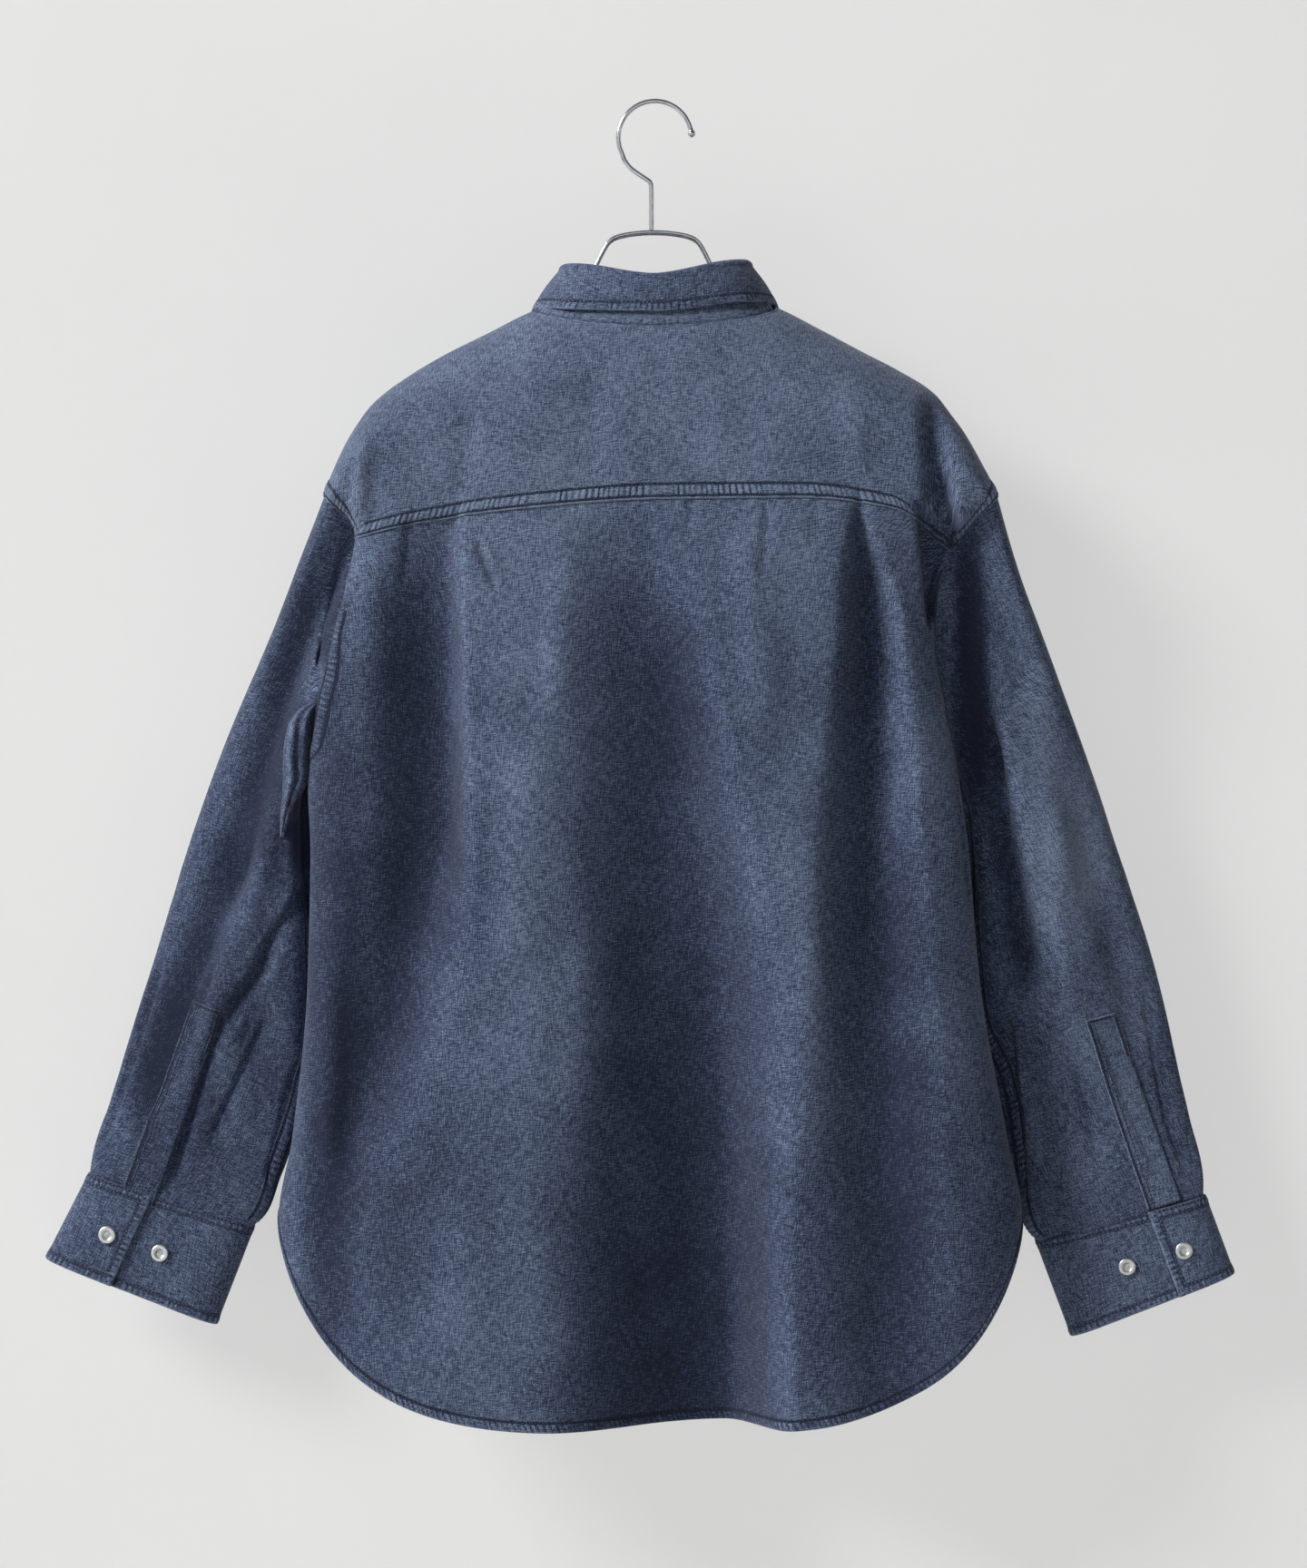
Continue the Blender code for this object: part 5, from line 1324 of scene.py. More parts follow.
def band(name, node, edge, profile, material, span=(0, 1), step=STEP, flat=False, slant=0.0):
    """A raised seam that lies along a sheet's edge, with ropy puckers between its stitch lines."""
    distance, high, low, rope, wear_and_shade = np.array(profile, float).T
    points, normal, run, ground = edge_stations(node, edge, span, distance, step, flat)
    at = run[:, None] + slant * distance
    wander = ROPE_WANDER * noise(at / 21, 0 * at, 7)
    tick = np.cos(math.pi * at / ROPE_PITCH + wander) ** 2
    bump = rope * (0.45 - 1.5 * tick ** 3) * (0.7 + 0.6 * noise(at / 9, 0 * at + 3, 8))
    top = high + ROPE_HEIGHT * bump
    middle = points + normal * ((top + low) / 2)[..., None]
    patch = 0.25 * noise(at / 12, 0 * at + 9, 9)
    faded_and_shaded = ground + wear_and_shade * (1 + patch) + ROPE_TINT * bump
    sewn_on(shell(name, middle, normal, material, (top - low)[..., None], wear_and_shade=faded_and_shaded), node)


def stitch_row(node, edge, distance, height, span=(0, 1), flat=False):
    """Marks the places of a row of stitches at a distance in from an edge."""
    points, normal, *_ = edge_stations(node, edge, span, [distance], STITCH_PITCH, flat)
    line = points[:, 0] + normal[:, 0] * height
    way = unit(np.diff(line, axis=0))
    STITCHES.setdefault(node, []).append((0.5 * (line[1:] + line[:-1]), way, normal[:-1, 0]))


def sew(thread):
    """One mesh of stitches for each sheet: short plump threads that dip into the cloth at both ends."""
    for node, rows in STITCHES.items():
        centre, way, up = (np.concatenate(parts) for parts in zip(*rows))
        side = unit(np.cross(way, up))
        rings = []
        for place, size, sink in STITCH_RINGS:
            middle = centre + way * (STITCH_LENGTH * place) - up * sink
            for across_it, above in ((-0.5, 0.0), (0.0, 0.42), (0.5, 0.0), (0.0, -0.42)):
                rings.append(middle + (side * across_it + up * above) * (STITCH_WIDTH * size))
        verts = np.stack(rings, axis=1).reshape(-1, 3)
        quads = [(r * 4 + k, r * 4 + (k + 1) % 4, r * 4 + 4 + (k + 1) % 4, r * 4 + 4 + k)
                 for r in range(3) for k in range(4)] + [(3, 2, 1, 0), (12, 13, 14, 15)]
        faces = (np.arange(len(centre))[:, None, None] * 16 + np.array(quads)[None]).reshape(-1, 4)
        sewn_on(make_mesh("stitches_" + node, verts, faces, thread), node)


def part_of_edge(node, edge, high, low):
    """The part of a side edge between two drops, as fractions of it."""
    column = SHEETS[node]["grid"][:, 0 if edge == "left" else -1]
    inside = np.flatnonzero((-column[:, 2] >= high) & (-column[:, 2] <= low))
    return inside[0] / (len(column) - 1), inside[-1] / (len(column) - 1)


# The column of a sleeve's grid along which its underarm seam runs
UNDERARM_COLUMN = 50
# The left sleeve's cloth bunches up under the arm: x, depth behind, drop, half width and height of its roll
BUNCH = table(
    "run x y drop wide high",
    (0, -225, 20, 404, 2.0, 0.5), (1, -232, 20, 412, 6.0, 5.0), (2, -236, 19, 424, 8.0, 7.5),
    (3, -238, 17, 438, 8.5, 8.0), (4, -239, 15, 452, 8.0, 7.0), (5, -243, 12, 467, 4.8, 5.0),
    (6, -247, 9, 481, 2.6, 3.0), (7, -249, 6, 493, 1.0, 0.8),
)
BUNCH_SHAPE = 70, 19
BUNCH_FOLDS = 1.9


def bunch(material):
    """A small roll of sleeve cloth that shows beside the body, with folds along it."""
    rows, columns = BUNCH_SHAPE
    run = np.linspace(0, BUNCH["run"][-1], rows)[:, None]
    t = np.linspace(-1, 1, columns)[None]
    x, y, drop, wide, high = (read(BUNCH, key, run) for key in ("x", "y", "drop", "wide", "high"))
    dome = np.sqrt(np.clip(1 - t ** 2, 0, 1))
    folds = np.cos(math.pi * (BUNCH_FOLDS * t - 0.55 * run * (1 - 0.1 * run)))
    folds = folds + 0.5 * noise(run * 2.3, t * 2.2, 66)
    height = high * (dome + 0.2 * folds * dome)
    grid = np.stack([x + wide * t, -(y + height), -(drop + 0.35 * wide * t)], -1)
    # Painted shade: the roll is dark throughout, darker in its folds' troughs, lighter on their tops and
    # darker towards the body
    wear_and_shade = -0.6 + 0.45 * folds * dome - 0.35 * t
    sewn_on(shell("sleeve_bunch_left", grid, grid_normals(grid, BACK), material, wear_and_shade=wear_and_shade), "sleeve_left")


# The drop from which an armhole's seam faces outward on the back
ARMHOLE_SHOWS = {("back_panel", "left"): 340, ("back_panel", "right"): 312}
ARMHOLES = (("back_panel", "left"), ("back_panel", "right"), ("front_left", "left"), ("front_right", "right"))
UNDERARM_SPAN = (0.05, 0.985)
CUFF_SPAN_SEWN = (0.02, 0.98)
LEAF_END = (0.35, 1)
LEAF_END_SEWN = (0.35, 0.9)
PLACKET_BOX = (0, 0.23)


def stitch_rows(node, edge, rows, span=(0, 1), flat=False):
    for distance, height in rows:
        stitch_row(node, edge, distance, height, span, flat)


def yoke_seams(pale):
    total = sum(YOKE_COLUMNS)
    seam = YOKE_COLUMNS[0] / total, 1 - YOKE_COLUMNS[2] / total
    parts = {"yoke_seam": seam, "yoke_armhole_left": (0, seam[0]), "yoke_armhole_right": (seam[1], 1)}
    for name, span in parts.items():
        band(name, "back_yoke", "foot", FELLED, pale, span)
    band("yoke_neck", "back_yoke", "top", PIPED, pale)
    for row in FELLED_ROWS:
        for span in parts.values():
            stitch_row("back_yoke", "foot", *row, span)


def body_seams(material):
    for node, side in ARMHOLES:
        span = part_of_edge(node, side, ARMHOLE_SHOWS.get((node, side), SHOULDER_POINT + 10), UNDERARM)
        seen = (node, side) == ARMHOLES[0]
        step = STEP if node == "back_panel" else FRONT_STEP
        band(node + "_armhole_" + side, node, side, PLAIN_FELLED, material, span, step, flat=seen)
        stitch_rows(node, side, FELLED_ROWS, span, seen)
    for node in ("back_panel", "front_left", "front_right"):
        step = STEP if node == "back_panel" else FRONT_STEP
        band(node + "_hem", node, "foot", HEMMED, material, step=step, slant=0.5)
        stitch_row(node, "foot", *HEM_ROW)


def cuff_seams(cuff, material):
    for edge, profile, row in (("top", CUFF_TOP, CUFF_TOP_ROWS[0]), ("foot", TOPSTITCHED, TOP_ROW),
                               ("left", TOPSTITCHED, TOP_ROW)):
        band(cuff + "_edge_" + edge, cuff, edge, profile, material)
        stitch_row(cuff, edge, *row, CUFF_SPAN_SEWN)
    stitch_row(cuff, "top", *CUFF_TOP_ROWS[1])


def placket_seams(placket, material):
    band(placket + "_edge", placket, "left", EDGED, material)
    band(placket + "_end", placket, "top", EDGED, material)
    band(placket + "_box", placket, "right", EDGED, material, PLACKET_BOX)
    stitch_rows(placket, "left", (EDGED_ROW, BOX_ROWS[0]))
    stitch_row(placket, "right", *EDGED_ROW, PLACKET_BOX)
    stitch_rows(placket, "top", (EDGED_ROW, BOX_ROWS[1]))


def make_seams(material, pale, trim, cuffs):
    bunch(material)
    yoke_seams(pale)
    band("stand_foot", "collar_stand", "top", TURNED, pale)
    stitch_row("collar_stand", "top", *STAND_ROW)
    body_seams(material)
    band("leaf_edge", "collar_leaf", "foot", TOPSTITCHED, trim)
    stitch_row("collar_leaf", "foot", *TOP_ROW)
    for _, end in SIDES:
        band("leaf_end_" + end, "collar_leaf", end, TOPSTITCHED, trim, LEAF_END)
        stitch_row("collar_leaf", end, *TOP_ROW, LEAF_END_SEWN)
    for _, label in SIDES:
        cuff_seams("cuff_" + label, cuffs[label])
        placket_seams("sleeve_placket_" + label, cuffs[label])
        sleeve = "sleeve_" + label
        band(sleeve + "_underarm", sleeve, UNDERARM_COLUMN, PLAIN_FELLED, material, UNDERARM_SPAN, SIDE_STEP)
        stitch_rows(sleeve, UNDERARM_COLUMN, FELLED_ROWS, UNDERARM_SPAN)
    for _, edge in SIDES:
        stitch_rows("front_placket", edge, BAND_ROWS)


# ---------------------------------------------------------------- wire and snaps

WIRE_SIDES = 14
HOOK_STEP = 0.9
FRAME_STEP = 2.4
SNAP_SIDES = 48
# A snap's turned outline, as radius and height, and the part of it that is pearl
SNAP_PROFILE = ((4.9, 0.0), (5.6, 0.3), (5.85, 0.9), (5.7, 1.45), (5.1, 1.85), (4.3, 1.95), (3.5, 1.8),
                (3.0, 1.4), (2.75, 0.85), (2.2, 0.6), (1.5, 0.7), (0.8, 0.95))
PEARL_RADIUS = 2.8
PEARL_HEIGHT = 0.55
# How deep a snap is pressed into the cloth, on the cuffs and in front, and how high the collar's one sits
CUFF_SNAP_SINK = 0.2
FRONT_SNAP_SINK = 0.3
COLLAR_SNAP_RISE = 1.0


def smooth_path(points, step, closed=False):
    """A Catmull-Rom curve through points, at even steps."""
    points = np.array(points, float)
    if closed:
        p = np.concatenate([points[-1:], points, points[:2]])
    else:
        p = np.concatenate([2 * points[:1] - points[1:2], points, 2 * points[-1:] - points[-2:-1]])
    out = []
    for a, b, c, d in zip(p[:-3], p[1:-2], p[2:-1], p[3:]):
        count = max(1, int(round(np.linalg.norm(c - b) / step)))
        t = np.linspace(0, 1, count + 1)[:-1, None]
        out.append(0.5 * (2 * b + (c - a) * t + (2 * a - 5 * b + 4 * c - d) * t ** 2
                          + (3 * b - a - 3 * c + d) * t ** 3))
    return np.concatenate(out if closed else out + [points[-1:]])


def ring_mesh(name, rings, ends, material):
    """A skin over rings of points; it is closed by a point at each end, or else the rings close on it."""
    count, sides = rings.shape[:2]
    verts = rings.reshape(-1, 3)
    spans = count if ends is None else count - 1
    i, j = (index.ravel() for index in np.meshgrid(np.arange(spans), np.arange(sides), indexing="ij"))
    n, m = (i + 1) % count, (j + 1) % sides
    faces = np.stack([i * sides + j, i * sides + m, n * sides + m, n * sides + j], -1)
    if ends is not None:
        verts = np.concatenate([verts, ends])
        k = np.arange(0, sides, 2)
        fans = [np.stack([np.full(len(k), tip), first + k, first + k + 1, first + (k + 2) % sides], -1)
                for tip, first in ((count * sides, 0), (count * sides + 1, spans * sides))]
        faces = np.concatenate([faces, *fans])
    return make_mesh(name, verts, faces, material)


def turns_of(sides):
    """Cosines and sines round a ring, as columns."""
    angle = np.arange(sides) * 2 * math.pi / sides
    return np.cos(angle)[:, None], np.sin(angle)[:, None]


def tube(name, path, radius, material, closed=False):
    """A round tube along a path; radius may change along it."""
    tangent = unit(np.roll(path, -1, 0) - np.roll(path, 1, 0) if closed else np.gradient(path, axis=0))
    side = np.empty_like(tangent)
    carried = np.cross(tangent[0], (0.0, 1.0, 0.0))
    for i, way in enumerate(tangent):
        carried = unit(carried - way * (carried @ way))
        side[i] = carried
    over = np.cross(tangent, side)
    cosine, sine = turns_of(WIRE_SIDES)
    ring = side[:, None] * cosine + over[:, None] * sine
    rings = path[:, None] + ring * np.broadcast_to(radius, len(path))[:, None, None]
    return ring_mesh(name, rings, None if closed else path[[0, -1]], material)


def make_hanger(material):
    """The hook with the ball on its end, and the arch: one wire that runs there and back."""
    ring = arc((HOOK_CENTRE, HOOK_WIRE - HOOK_RADIUS), HOOK_RADIUS, HOOK_FROM, HOOK_TO, 34)
    start, neck = ([(x, 0.0, -drop) for x, drop in spots] for spots in (HOOK_END, HOOK_NECK))
    path = smooth_path(start + ring + neck, HOOK_STEP)
    ball = np.interp(run_of(path), HOOK_BALL["run"], HOOK_BALL["size"])
    hook = tube("hook_wire", path, HOOK_WIRE * ball, material)
    right = frame_run(1)
    left = frame_run(-1)
    loop = [(x, -y, -drop) for x, y, drop in right] + tip_bend(right[-1], 1)
    loop += [(x, y, -drop) for x, y, drop in reversed(right)] + [(x, y, -drop) for x, y, drop in left[1:]]
    loop += tip_bend(left[-1], -1)[::-1] + [(x, -y, -drop) for x, y, drop in reversed(left[1:])]
    runs = tube("frame_wire", smooth_path(loop, FRAME_STEP, True), FRAME_WIRE, material, closed=True)
    for piece, node in ((hook, "hanger_hook"), (runs, "hanger_frame")):
        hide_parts(node)


def snap_cap(name, node, centre, axis, materials):
    """A turned snap: a rolled metal ring round a sunk pearly middle."""
    axis = unit(np.array(axis, float))
    side = unit(np.cross(axis, (0, 0, 1.0)))
    cosine, sine = turns_of(SNAP_SIDES)
    spoke = side * cosine + np.cross(axis, side) * sine
    rings = np.stack([centre + axis * height + spoke * radius for radius, height in SNAP_PROFILE])
    piece = ring_mesh(name, rings, [centre, centre + axis * SNAP_PROFILE[-1][1]], materials[0])
    piece.data.materials.append(materials[1])
    for polygon in piece.data.polygons:
        where = np.array(polygon.center) / MM - centre
        if where @ axis > PEARL_HEIGHT and np.linalg.norm(where - axis * (where @ axis)) < PEARL_RADIUS:
            polygon.material_index = 1
    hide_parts(node)


def make_snaps(materials):
    for side, label in SIDES:
        for number, (place, down) in enumerate(CUFF_SNAPS[label], 1):
            outer, inner = cuff_line(CUFFS[label], down)
            flat = outer * (1 - place) + inner * place
            depth = cuff_depth(place, down, CUFF_LAYER if number == 1 else -0.5 * CUFF_LAYER)
            edge = 2 * place - 1
            tilt = side * CUFF_POWER * edge * abs(edge) ** (CUFF_POWER - 2) * depth / CUFF_WIDTH
            y = CUFF_Y - depth - DOUBLE_CLOTH / 2 - SNAP_GAP + CUFF_SNAP_SINK
            node = f"cuff_snap_{label}_{number}"
            snap_cap("pearl_" + node, node, np.array((flat[0], y, flat[1])), (-tilt, -1, 0), materials)
    lift = PANEL_GAP + CLOTH + LAYER + CLOTH / 2 + SNAP_GAP - FRONT_SNAP_SINK
    for number, drop in enumerate(FRONT_SNAP_DROPS, 1):
        y = float(body_depth("front", np.array(0.0), np.array(float(drop)))) + lift
        node = f"front_snap_{number}"
        snap_cap("pearl_" + node, node, np.array((0.0, y, -drop)), (0, 1, 0), materials)
    middle = 0.5 * (neck_point(np.array(180.0)) + collar_curve("top", np.array(180.0)))
    middle = middle + np.array((0, LAP_SHIFT + DOUBLE_CLOTH / 2 + SNAP_GAP, COLLAR_SNAP_RISE))
    snap_cap("pearl_collar_snap", "collar_snap", middle, (0, 1, 0), materials)


# ---------------------------------------------------------------- materials

INDIGO_DARK = (0.012, 0.017, 0.042, 1)
INDIGO = (0.079, 0.108, 0.190, 1)
INDIGO_LIGHT = (0.235, 0.295, 0.405, 1)
THREAD = (0.008, 0.010, 0.024, 1)
THREAD_LIGHT = (0.022, 0.026, 0.052, 1)
PEARL_DARK = (0.34, 0.345, 0.36, 1)
PEARL_LIGHT = (0.66, 0.67, 0.68, 1)


class Nodes:
    """Short calls for the nodes of a material or of the world."""

    def __init__(self, owner):
        owner.use_nodes = True
        self.owner = owner
        self.tree = owner.node_tree
        self.shader = self.tree.nodes.get("Principled BSDF")

    def add(self, kind, inputs=(), **settings):
        node = self.tree.nodes.new(kind)
        for key, value in settings.items():
            setattr(node, key, value)
        for key, value in dict(inputs).items():
            if isinstance(value, bpy.types.NodeSocket):
                self.tree.links.new(value, node.inputs[key])
            else:
                node.inputs[key].default_value = value
        return node

    def math(self, operation, a, b=0.0):
        return self.add("ShaderNodeMath", {0: a, 1: b}, operation=operation).outputs[0]

    def total(self, first, *others):
        for value in others:
            first = self.math("ADD", first, value)
        return first

    def object_noise(self, scale, detail=2.0, rough=0.5):
        return self.noise(self.add("ShaderNodeTexCoord").outputs["Object"], scale, detail, rough)

    def threads(self, cloth, across, down):
        """Cloth coordinates drawn out along one thread, each thread starting at its own place."""
        ends = [self.add("ShaderNodeVectorMath", {0: cloth, 1: way}, operation="DOT_PRODUCT").outputs["Value"]
                for way in (across, down)]
        return self.add("ShaderNodeCombineXYZ", {0: ends[0], 1: ends[1]}).outputs[0]

    def noise(self, vector, scale, detail=2.0, rough=0.5):
        return self.add("ShaderNodeTexNoise", {"Vector": vector, "Scale": scale, "Detail": detail,
                                               "Roughness": rough}).outputs["Fac"]

    def spread(self, value, low, high, to_low=0.0, to_high=1.0):
        return self.add("ShaderNodeMapRange", {"Value": value, "From Min": low, "From Max": high,
                                               "To Min": to_low, "To Max": to_high}).outputs[0]

    def mix(self, fac, a, b):
        return self.add("ShaderNodeMix", {"Factor": fac, 6: a, 7: b}, data_type="RGBA").outputs[2]

    def link(self, source, socket):
        self.tree.links.new(source, self.shader.inputs[socket])


def chambray(name, tone):
    """Indigo warp and pale weft: heathered slubs both ways, flecks, wash blotches, and each point's value of
    worn edges and painted shade.
    """
    nodes = Nodes(bpy.data.materials.new(name))
    cloth = nodes.add("ShaderNodeUVMap", uv_map="cloth").outputs[0]
    weft = nodes.noise(nodes.threads(cloth, (1.9, 8.7, 0), (0, 14, 0)), 1.0, 2, 0.6)
    warp = nodes.noise(nodes.threads(cloth, (14, 0, 0), (8.7, 1.6, 0)), 1.0, 2, 0.6)
    fleck = nodes.noise(cloth, 15, 1, 0.6)
    blotch = nodes.noise(cloth, 0.3, 3, 0.55)
    wear_and_shade = nodes.add("ShaderNodeAttribute", attribute_name="wear_and_shade").outputs["Fac"]
    # Each shade's value, the range it is read over, and its share of the tone
    shades = ((weft, 0.38, 0.62, 0.27), (warp, 0.38, 0.62, 0.25), (fleck, 0.35, 0.65, 0.29),
              (blotch, 0.3, 0.7, 0.07))
    shades = [nodes.spread(value, low, high, -share, share) for value, low, high, share in shades]
    # The points' value of wear and painted shade darkens or lightens the cloth's tone
    value = nodes.total(*shades, nodes.math("MULTIPLY", wear_and_shade, 0.5), 0.5 + tone)
    ramp = nodes.add("ShaderNodeValToRGB", {"Fac": value})
    ramp.color_ramp.elements[0].color = INDIGO_DARK
    ramp.color_ramp.elements[1].color = INDIGO_LIGHT
    ramp.color_ramp.elements.new(0.5).color = INDIGO
    nodes.link(ramp.outputs[0], "Base Color")
    nodes.link(nodes.spread(fleck, 0.2, 0.8, 0.92, 0.78), "Roughness")
    wave = {"Vector": cloth, "Scale": 3.6, "Distortion": 0.8, "Detail": 1.0}
    waves = [nodes.add("ShaderNodeTexWave", wave, bands_direction=way).outputs["Fac"] for way in "XY"]
    height = nodes.total(nodes.math("MULTIPLY", *waves), nodes.math("MULTIPLY", fleck, 0.7),
                         nodes.math("MULTIPLY", weft, 0.8))
    bump = nodes.add("ShaderNodeBump", {"Height": height, "Strength": 0.35, "Distance": 0.0004})
    nodes.link(bump.outputs[0], "Normal")
    nodes.shader.inputs["Sheen Weight"].default_value = 0.12
    nodes.shader.inputs["Sheen Roughness"].default_value = 0.5
    nodes.shader.inputs["Specular IOR Level"].default_value = 0.25
    return nodes.owner


def thread_material():
    nodes = Nodes(bpy.data.materials.new("thread_dark"))
    twist = nodes.object_noise(900)
    nodes.link(nodes.mix(twist, THREAD, THREAD_LIGHT), "Base Color")
    nodes.shader.inputs["Roughness"].default_value = 0.6
    return nodes.owner


def dimmed(colour, share):
    return tuple(share * part for part in colour[:3]) + (1,)


def metal_material(name, colour, rough, wear_scale):
    nodes = Nodes(bpy.data.materials.new(name))
    smudge = nodes.object_noise(wear_scale, 3, 0.6)
    nodes.link(nodes.mix(nodes.spread(smudge, 0.4, 0.7), colour, dimmed(colour, 0.8)), "Base Color")
    nodes.link(nodes.spread(smudge, 0.3, 0.7, rough, rough + 0.12), "Roughness")
    nodes.shader.inputs["Metallic"].default_value = 1.0
    return nodes.owner


def pearl_material():
    nodes = Nodes(bpy.data.materials.new("snap_pearl"))
    cloud = nodes.object_noise(260, 3, 0.6)
    nodes.link(nodes.mix(nodes.spread(cloud, 0.35, 0.65), PEARL_DARK, PEARL_LIGHT), "Base Color")
    nodes.link(nodes.spread(cloud, 0.3, 0.7, 0.2, 0.32), "Roughness")
    nodes.shader.inputs["Coat Weight"].default_value = 0.6
    nodes.shader.inputs["Coat Roughness"].default_value = 0.1
    return nodes.owner


# ---------------------------------------------------------------- stage, lamps and camera

WALL_Y = 0.074
WALL_TOP = 1.6
FLOOR_Z = -1.32
STAGE_HALF = 3
FLOOR_REACH = 4
WALL_PAINT = (0.82, 0.82, 0.815, 1)
FLOOR_PAINT = (0.72, 0.71, 0.70, 1)
PAINT_GLOW = 0.7
SKY = (0.92, 0.95, 1.0, 1)
SKY_LIGHT = 0.075
# Lamps: place, aim, size, power and colour
LAMPS = {
    "key_lamp": ((-4.1, -2.6, 2.6), (0, 0, -0.40), 2.0, 345, (1.0, 1.0, 0.995)),
    "fill_lamp": ((0.6, -4.5, 0.6), (0, 0, -0.45), 2.4, 8, (0.96, 0.98, 1.0)),
    "front_lamp": ((1.1, 3.0, 0.7), (0, 0, -0.45), 1.6, 34, (1.0, 1.0, 1.0)),
}
CAMERA = (0.0, -2.5, -0.4575)
LENS = 85.4


def plaster(name, colour):
    """A pale painted plaster with faint unevenness; seen from behind, it lets the camera through."""
    nodes = Nodes(bpy.data.materials.new(name))
    fine = nodes.object_noise(60, 4, 0.6)
    broad = nodes.object_noise(3)
    tint = nodes.mix(nodes.spread(broad, 0.3, 0.7), colour, dimmed(colour, 0.965))
    nodes.link(tint, "Base Color")
    nodes.shader.inputs["Roughness"].default_value = 0.9
    bump = nodes.add("ShaderNodeBump", {"Height": fine, "Strength": 0.12, "Distance": 0.002})
    nodes.link(bump.outputs[0], "Normal")
    glow = nodes.add("ShaderNodeEmission", {"Color": tint})
    path = nodes.add("ShaderNodeLightPath")
    seen = nodes.math("MULTIPLY", path.outputs["Is Camera Ray"], PAINT_GLOW)
    face = nodes.add("ShaderNodeMixShader", {0: seen, 1: nodes.shader.outputs[0], 2: glow.outputs[0]})
    clear = nodes.add("ShaderNodeBsdfTransparent")
    behind = nodes.add("ShaderNodeNewGeometry").outputs["Backfacing"]
    both = nodes.add("ShaderNodeMixShader", {0: behind, 1: face.outputs[0], 2: clear.outputs[0]})
    nodes.tree.links.new(both.outputs[0], nodes.tree.nodes["Material Output"].inputs[0])
    return nodes.owner


def plate(name, corners, material):
    mesh = bpy.data.meshes.new(name)
    mesh.from_pydata(corners, [], [(0, 1, 2, 3)])
    mesh.materials.append(material)
    piece = add_object(name, mesh)
    return piece


def lamp(name, place, aim, size, power, colour):
    light = bpy.data.lights.new(name, "AREA")
    light.shape = "DISK"
    light.size = size
    light.energy = power
    light.color = colour
    piece = add_object(name, light)
    piece.location = place
    piece.rotation_euler = (Vector(aim) - Vector(place)).to_track_quat("-Z", "Y").to_euler()
    return piece


def make_stage():
    sides = (-STAGE_HALF, STAGE_HALF, STAGE_HALF, -STAGE_HALF)
    wall = plate("backdrop", [(x, WALL_Y, z) for x, z in zip(sides, (FLOOR_Z, FLOOR_Z, WALL_TOP, WALL_TOP))],
                 plaster("wall_paint", WALL_PAINT))
    # The wall stands close before the shirt's front, so the front's own lamp shines through it
    wall.visible_shadow = False
    plate("floor", [(x, FLOOR_REACH * y, FLOOR_Z) for x, y in zip(sides, (-1, -1, 1, 1))],
          plaster("floor_paint", FLOOR_PAINT))
    lamps = {name: lamp(name, *row) for name, row in LAMPS.items()}
    lamps["front_lamp"].visible_glossy = False
    world = bpy.context.scene.world or bpy.data.worlds.new("studio")
    bpy.context.scene.world = world
    sky = Nodes(world)
    background = sky.tree.nodes["Background"]
    background.inputs[0].default_value = SKY
    view = sky.add("ShaderNodeTexCoord").outputs["Generated"]
    height = sky.math("ABSOLUTE", sky.add("ShaderNodeSeparateXYZ", {0: view}).outputs["Z"])
    glossy = sky.add("ShaderNodeLightPath").outputs["Is Glossy Ray"]
    room = sky.math("MULTIPLY", sky.spread(height, 0.05, 0.32, 0.6, 0.0), glossy)
    sky.tree.links.new(sky.math("ADD", room, SKY_LIGHT), background.inputs[1])


def make_camera():
    view = bpy.data.cameras.new("camera")
    view.lens = LENS
    view.sensor_width = 36
    eye = add_object("camera", view)
    eye.location = CAMERA
    eye.rotation_euler = (math.radians(90), 0, 0)
    bpy.context.scene.camera = eye
    bpy.context.scene.view_settings.view_transform = "Standard"


# ---------------------------------------------------------------- assembly

BACK = np.array((0.0, -1.0, 0.0))
FRONT = np.array((0.0, 1.0, 0.0))
DOWN = (0.0, 0.0, -1.0)
ACROSS = (1.0, 0.0, 0.0)
BAND_SHAPE = 200, 22


def cloth_piece(name, node, slot, grid, out, material, thickness=SHELL, closed=False, wear_and_shade=None, uv=None):
    """A sheet of cloth that replaces its node, kept for the seams along its edges."""
    normal = grid_normals(grid, out, closed)
    piece = shell(name, grid, normal, material, thickness, closed, wear_and_shade, uv)
    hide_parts(node)
    fade = np.zeros(grid.shape[:2]) if wear_and_shade is None else wear_and_shade
    SHEETS[node] = {"piece": piece, "grid": grid, "normal": normal, "wear_and_shade": fade[..., None], "slot": slot,
                    "with": []}


def make_body(body, pale):
    back = back_grid()
    cloth_piece("back_sheet", "back_panel", "chambray", back, BACK, body,
                wear_and_shade=body_shade_and_wear("back", back[..., 0], -back[..., 2]),
                uv=grain(back, DOWN, ACROSS, sum(BACK_COLUMNS[:2])))
    yoke = yoke_grid()
    from_axis = (yoke + (0, 0, 200)) * (0.2, 1, 1)
    cloth_piece("yoke_sheet", "back_yoke", "chambray", yoke, from_axis, pale,
                wear_and_shade=body_shade_and_wear("back", yoke[..., 0], -yoke[..., 2]), uv=yoke_uv(yoke))
    for side, label in SIDES:
        front = front_grid(side)
        cloth_piece("front_sheet_" + label, "front_" + label, "chambray", front, FRONT, body,
                    wear_and_shade=body_shade_and_wear("front", front[..., 0], -front[..., 2]),
                    uv=grain(front, DOWN, ACROSS, FRONT_GRAIN))


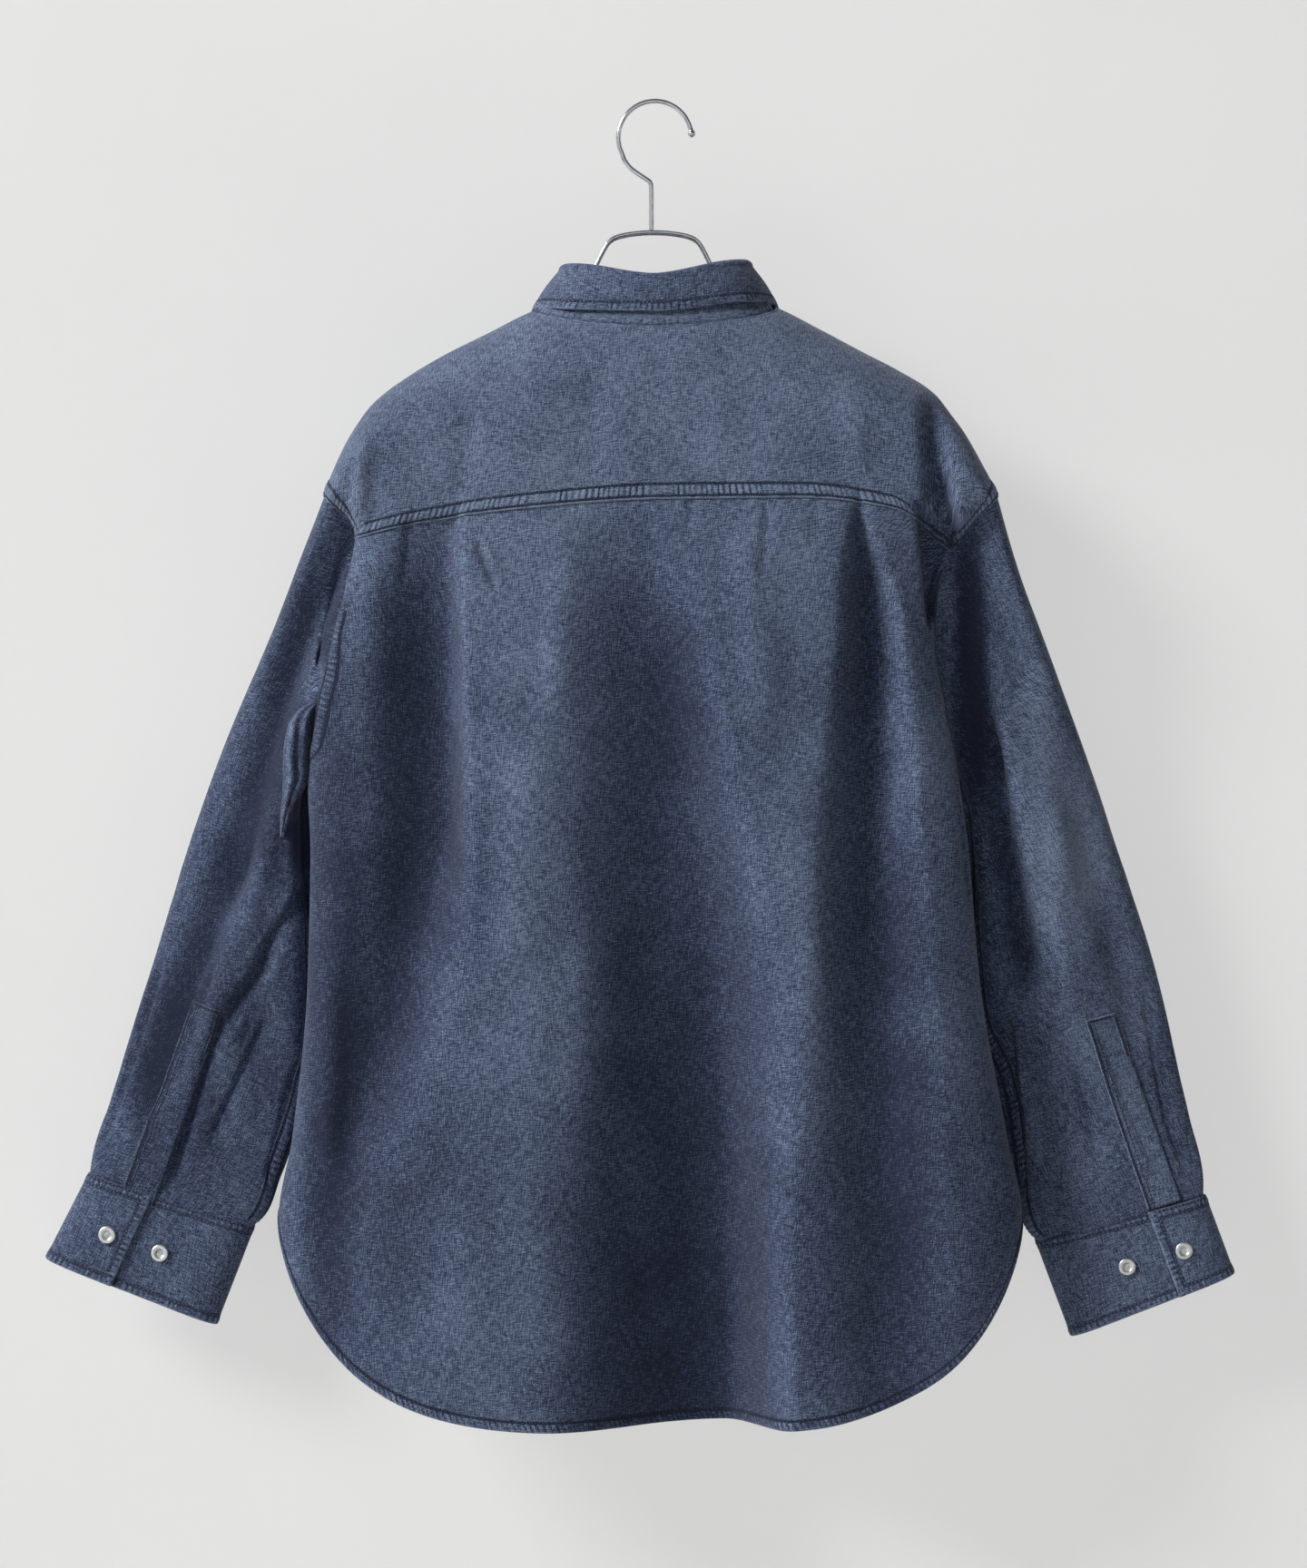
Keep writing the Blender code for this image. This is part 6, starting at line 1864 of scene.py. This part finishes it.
def make_sleeves(body, cuffs):
    for side, label in SIDES:
        grid, out = sleeve_grid(side)
        cloth_piece("sleeve_sheet_" + label, "sleeve_" + label, "chambray", grid, out, body, closed=True,
                    wear_and_shade=sleeve_shade_and_wear(side, grid), uv=sleeve_uv(grid))
        grid = cuff_grid(CUFFS[label])
        cloth_piece("cuff_sheet_" + label, "cuff_" + label, "chambray_trim", grid,
                    (grid - grid.mean((0, 1))) * (0, 1, 0), cuffs[label], DOUBLE_SHELL)
        grid = placket_grid(side)
        normal = grid_normals(grid, BACK)
        cloth_piece("placket_sheet_" + label, "sleeve_placket_" + label, "chambray_trim",
                    grid + normal * PLACKET_LIFT, BACK, cuffs[label],
                    wear_and_shade=np.full(grid.shape[:2], PLACKET_TONE[side]))


def make_band(trim):
    """The snap band down the middle of the fronts."""
    rows, columns = BAND_SHAPE
    xs = np.linspace(-LAP, LAP, columns)
    head = front_head(xs) + SEAM
    foot = foot_line(xs, np.full_like(xs, NOTCH), FRONT_HEM_FALL)
    drop = head + (foot - head) * np.linspace(0, 1, rows)[:, None]
    x = np.broadcast_to(xs, drop.shape)
    strip = spot(x, body_depth("front", x, drop) + CLOTH, drop)
    cloth_piece("band_sheet", "front_placket", "chambray_trim", strip, FRONT, trim)


def main():
    body = chambray("chambray_body", 0.0)
    # A paler copy of the cloth for the yoke, the collar stand and their seams: partly washed paler, partly
    # painted light where the yoke faces up into the lamp
    pale = chambray("chambray_yoke_painted_light", 0.05)
    trim = chambray("chambray_trim", -0.03)
    collar = chambray("chambray_collar", -0.11)
    cuffs = {"left": chambray("chambray_cuff_left", -0.16), "right": trim}
    chrome = metal_material("chrome_wire", (0.62, 0.64, 0.67, 1), 0.14, 180)
    ring = metal_material("snap_ring", (0.78, 0.78, 0.77, 1), 0.34, 400)
    make_body(body, pale)
    stand = stand_grid()
    # The stand takes the paler cloth as painted light against the leaf's shadow
    cloth_piece("stand_sheet", "collar_stand", "chambray_trim", stand, stand * (1, 1, 0), pale, DOUBLE_SHELL)
    leaf = leaf_grid()
    cloth_piece("leaf_sheet", "collar_leaf", "chambray_trim", leaf, leaf * (1, 1, 0), collar, DOUBLE_SHELL)
    make_sleeves(body, cuffs)
    make_hanger(chrome)
    make_snaps((ring, pearl_material()))
    make_band(trim)
    make_seams(body, pale, trim, cuffs)
    sew(thread_material())


make_camera()
make_stage()
main()
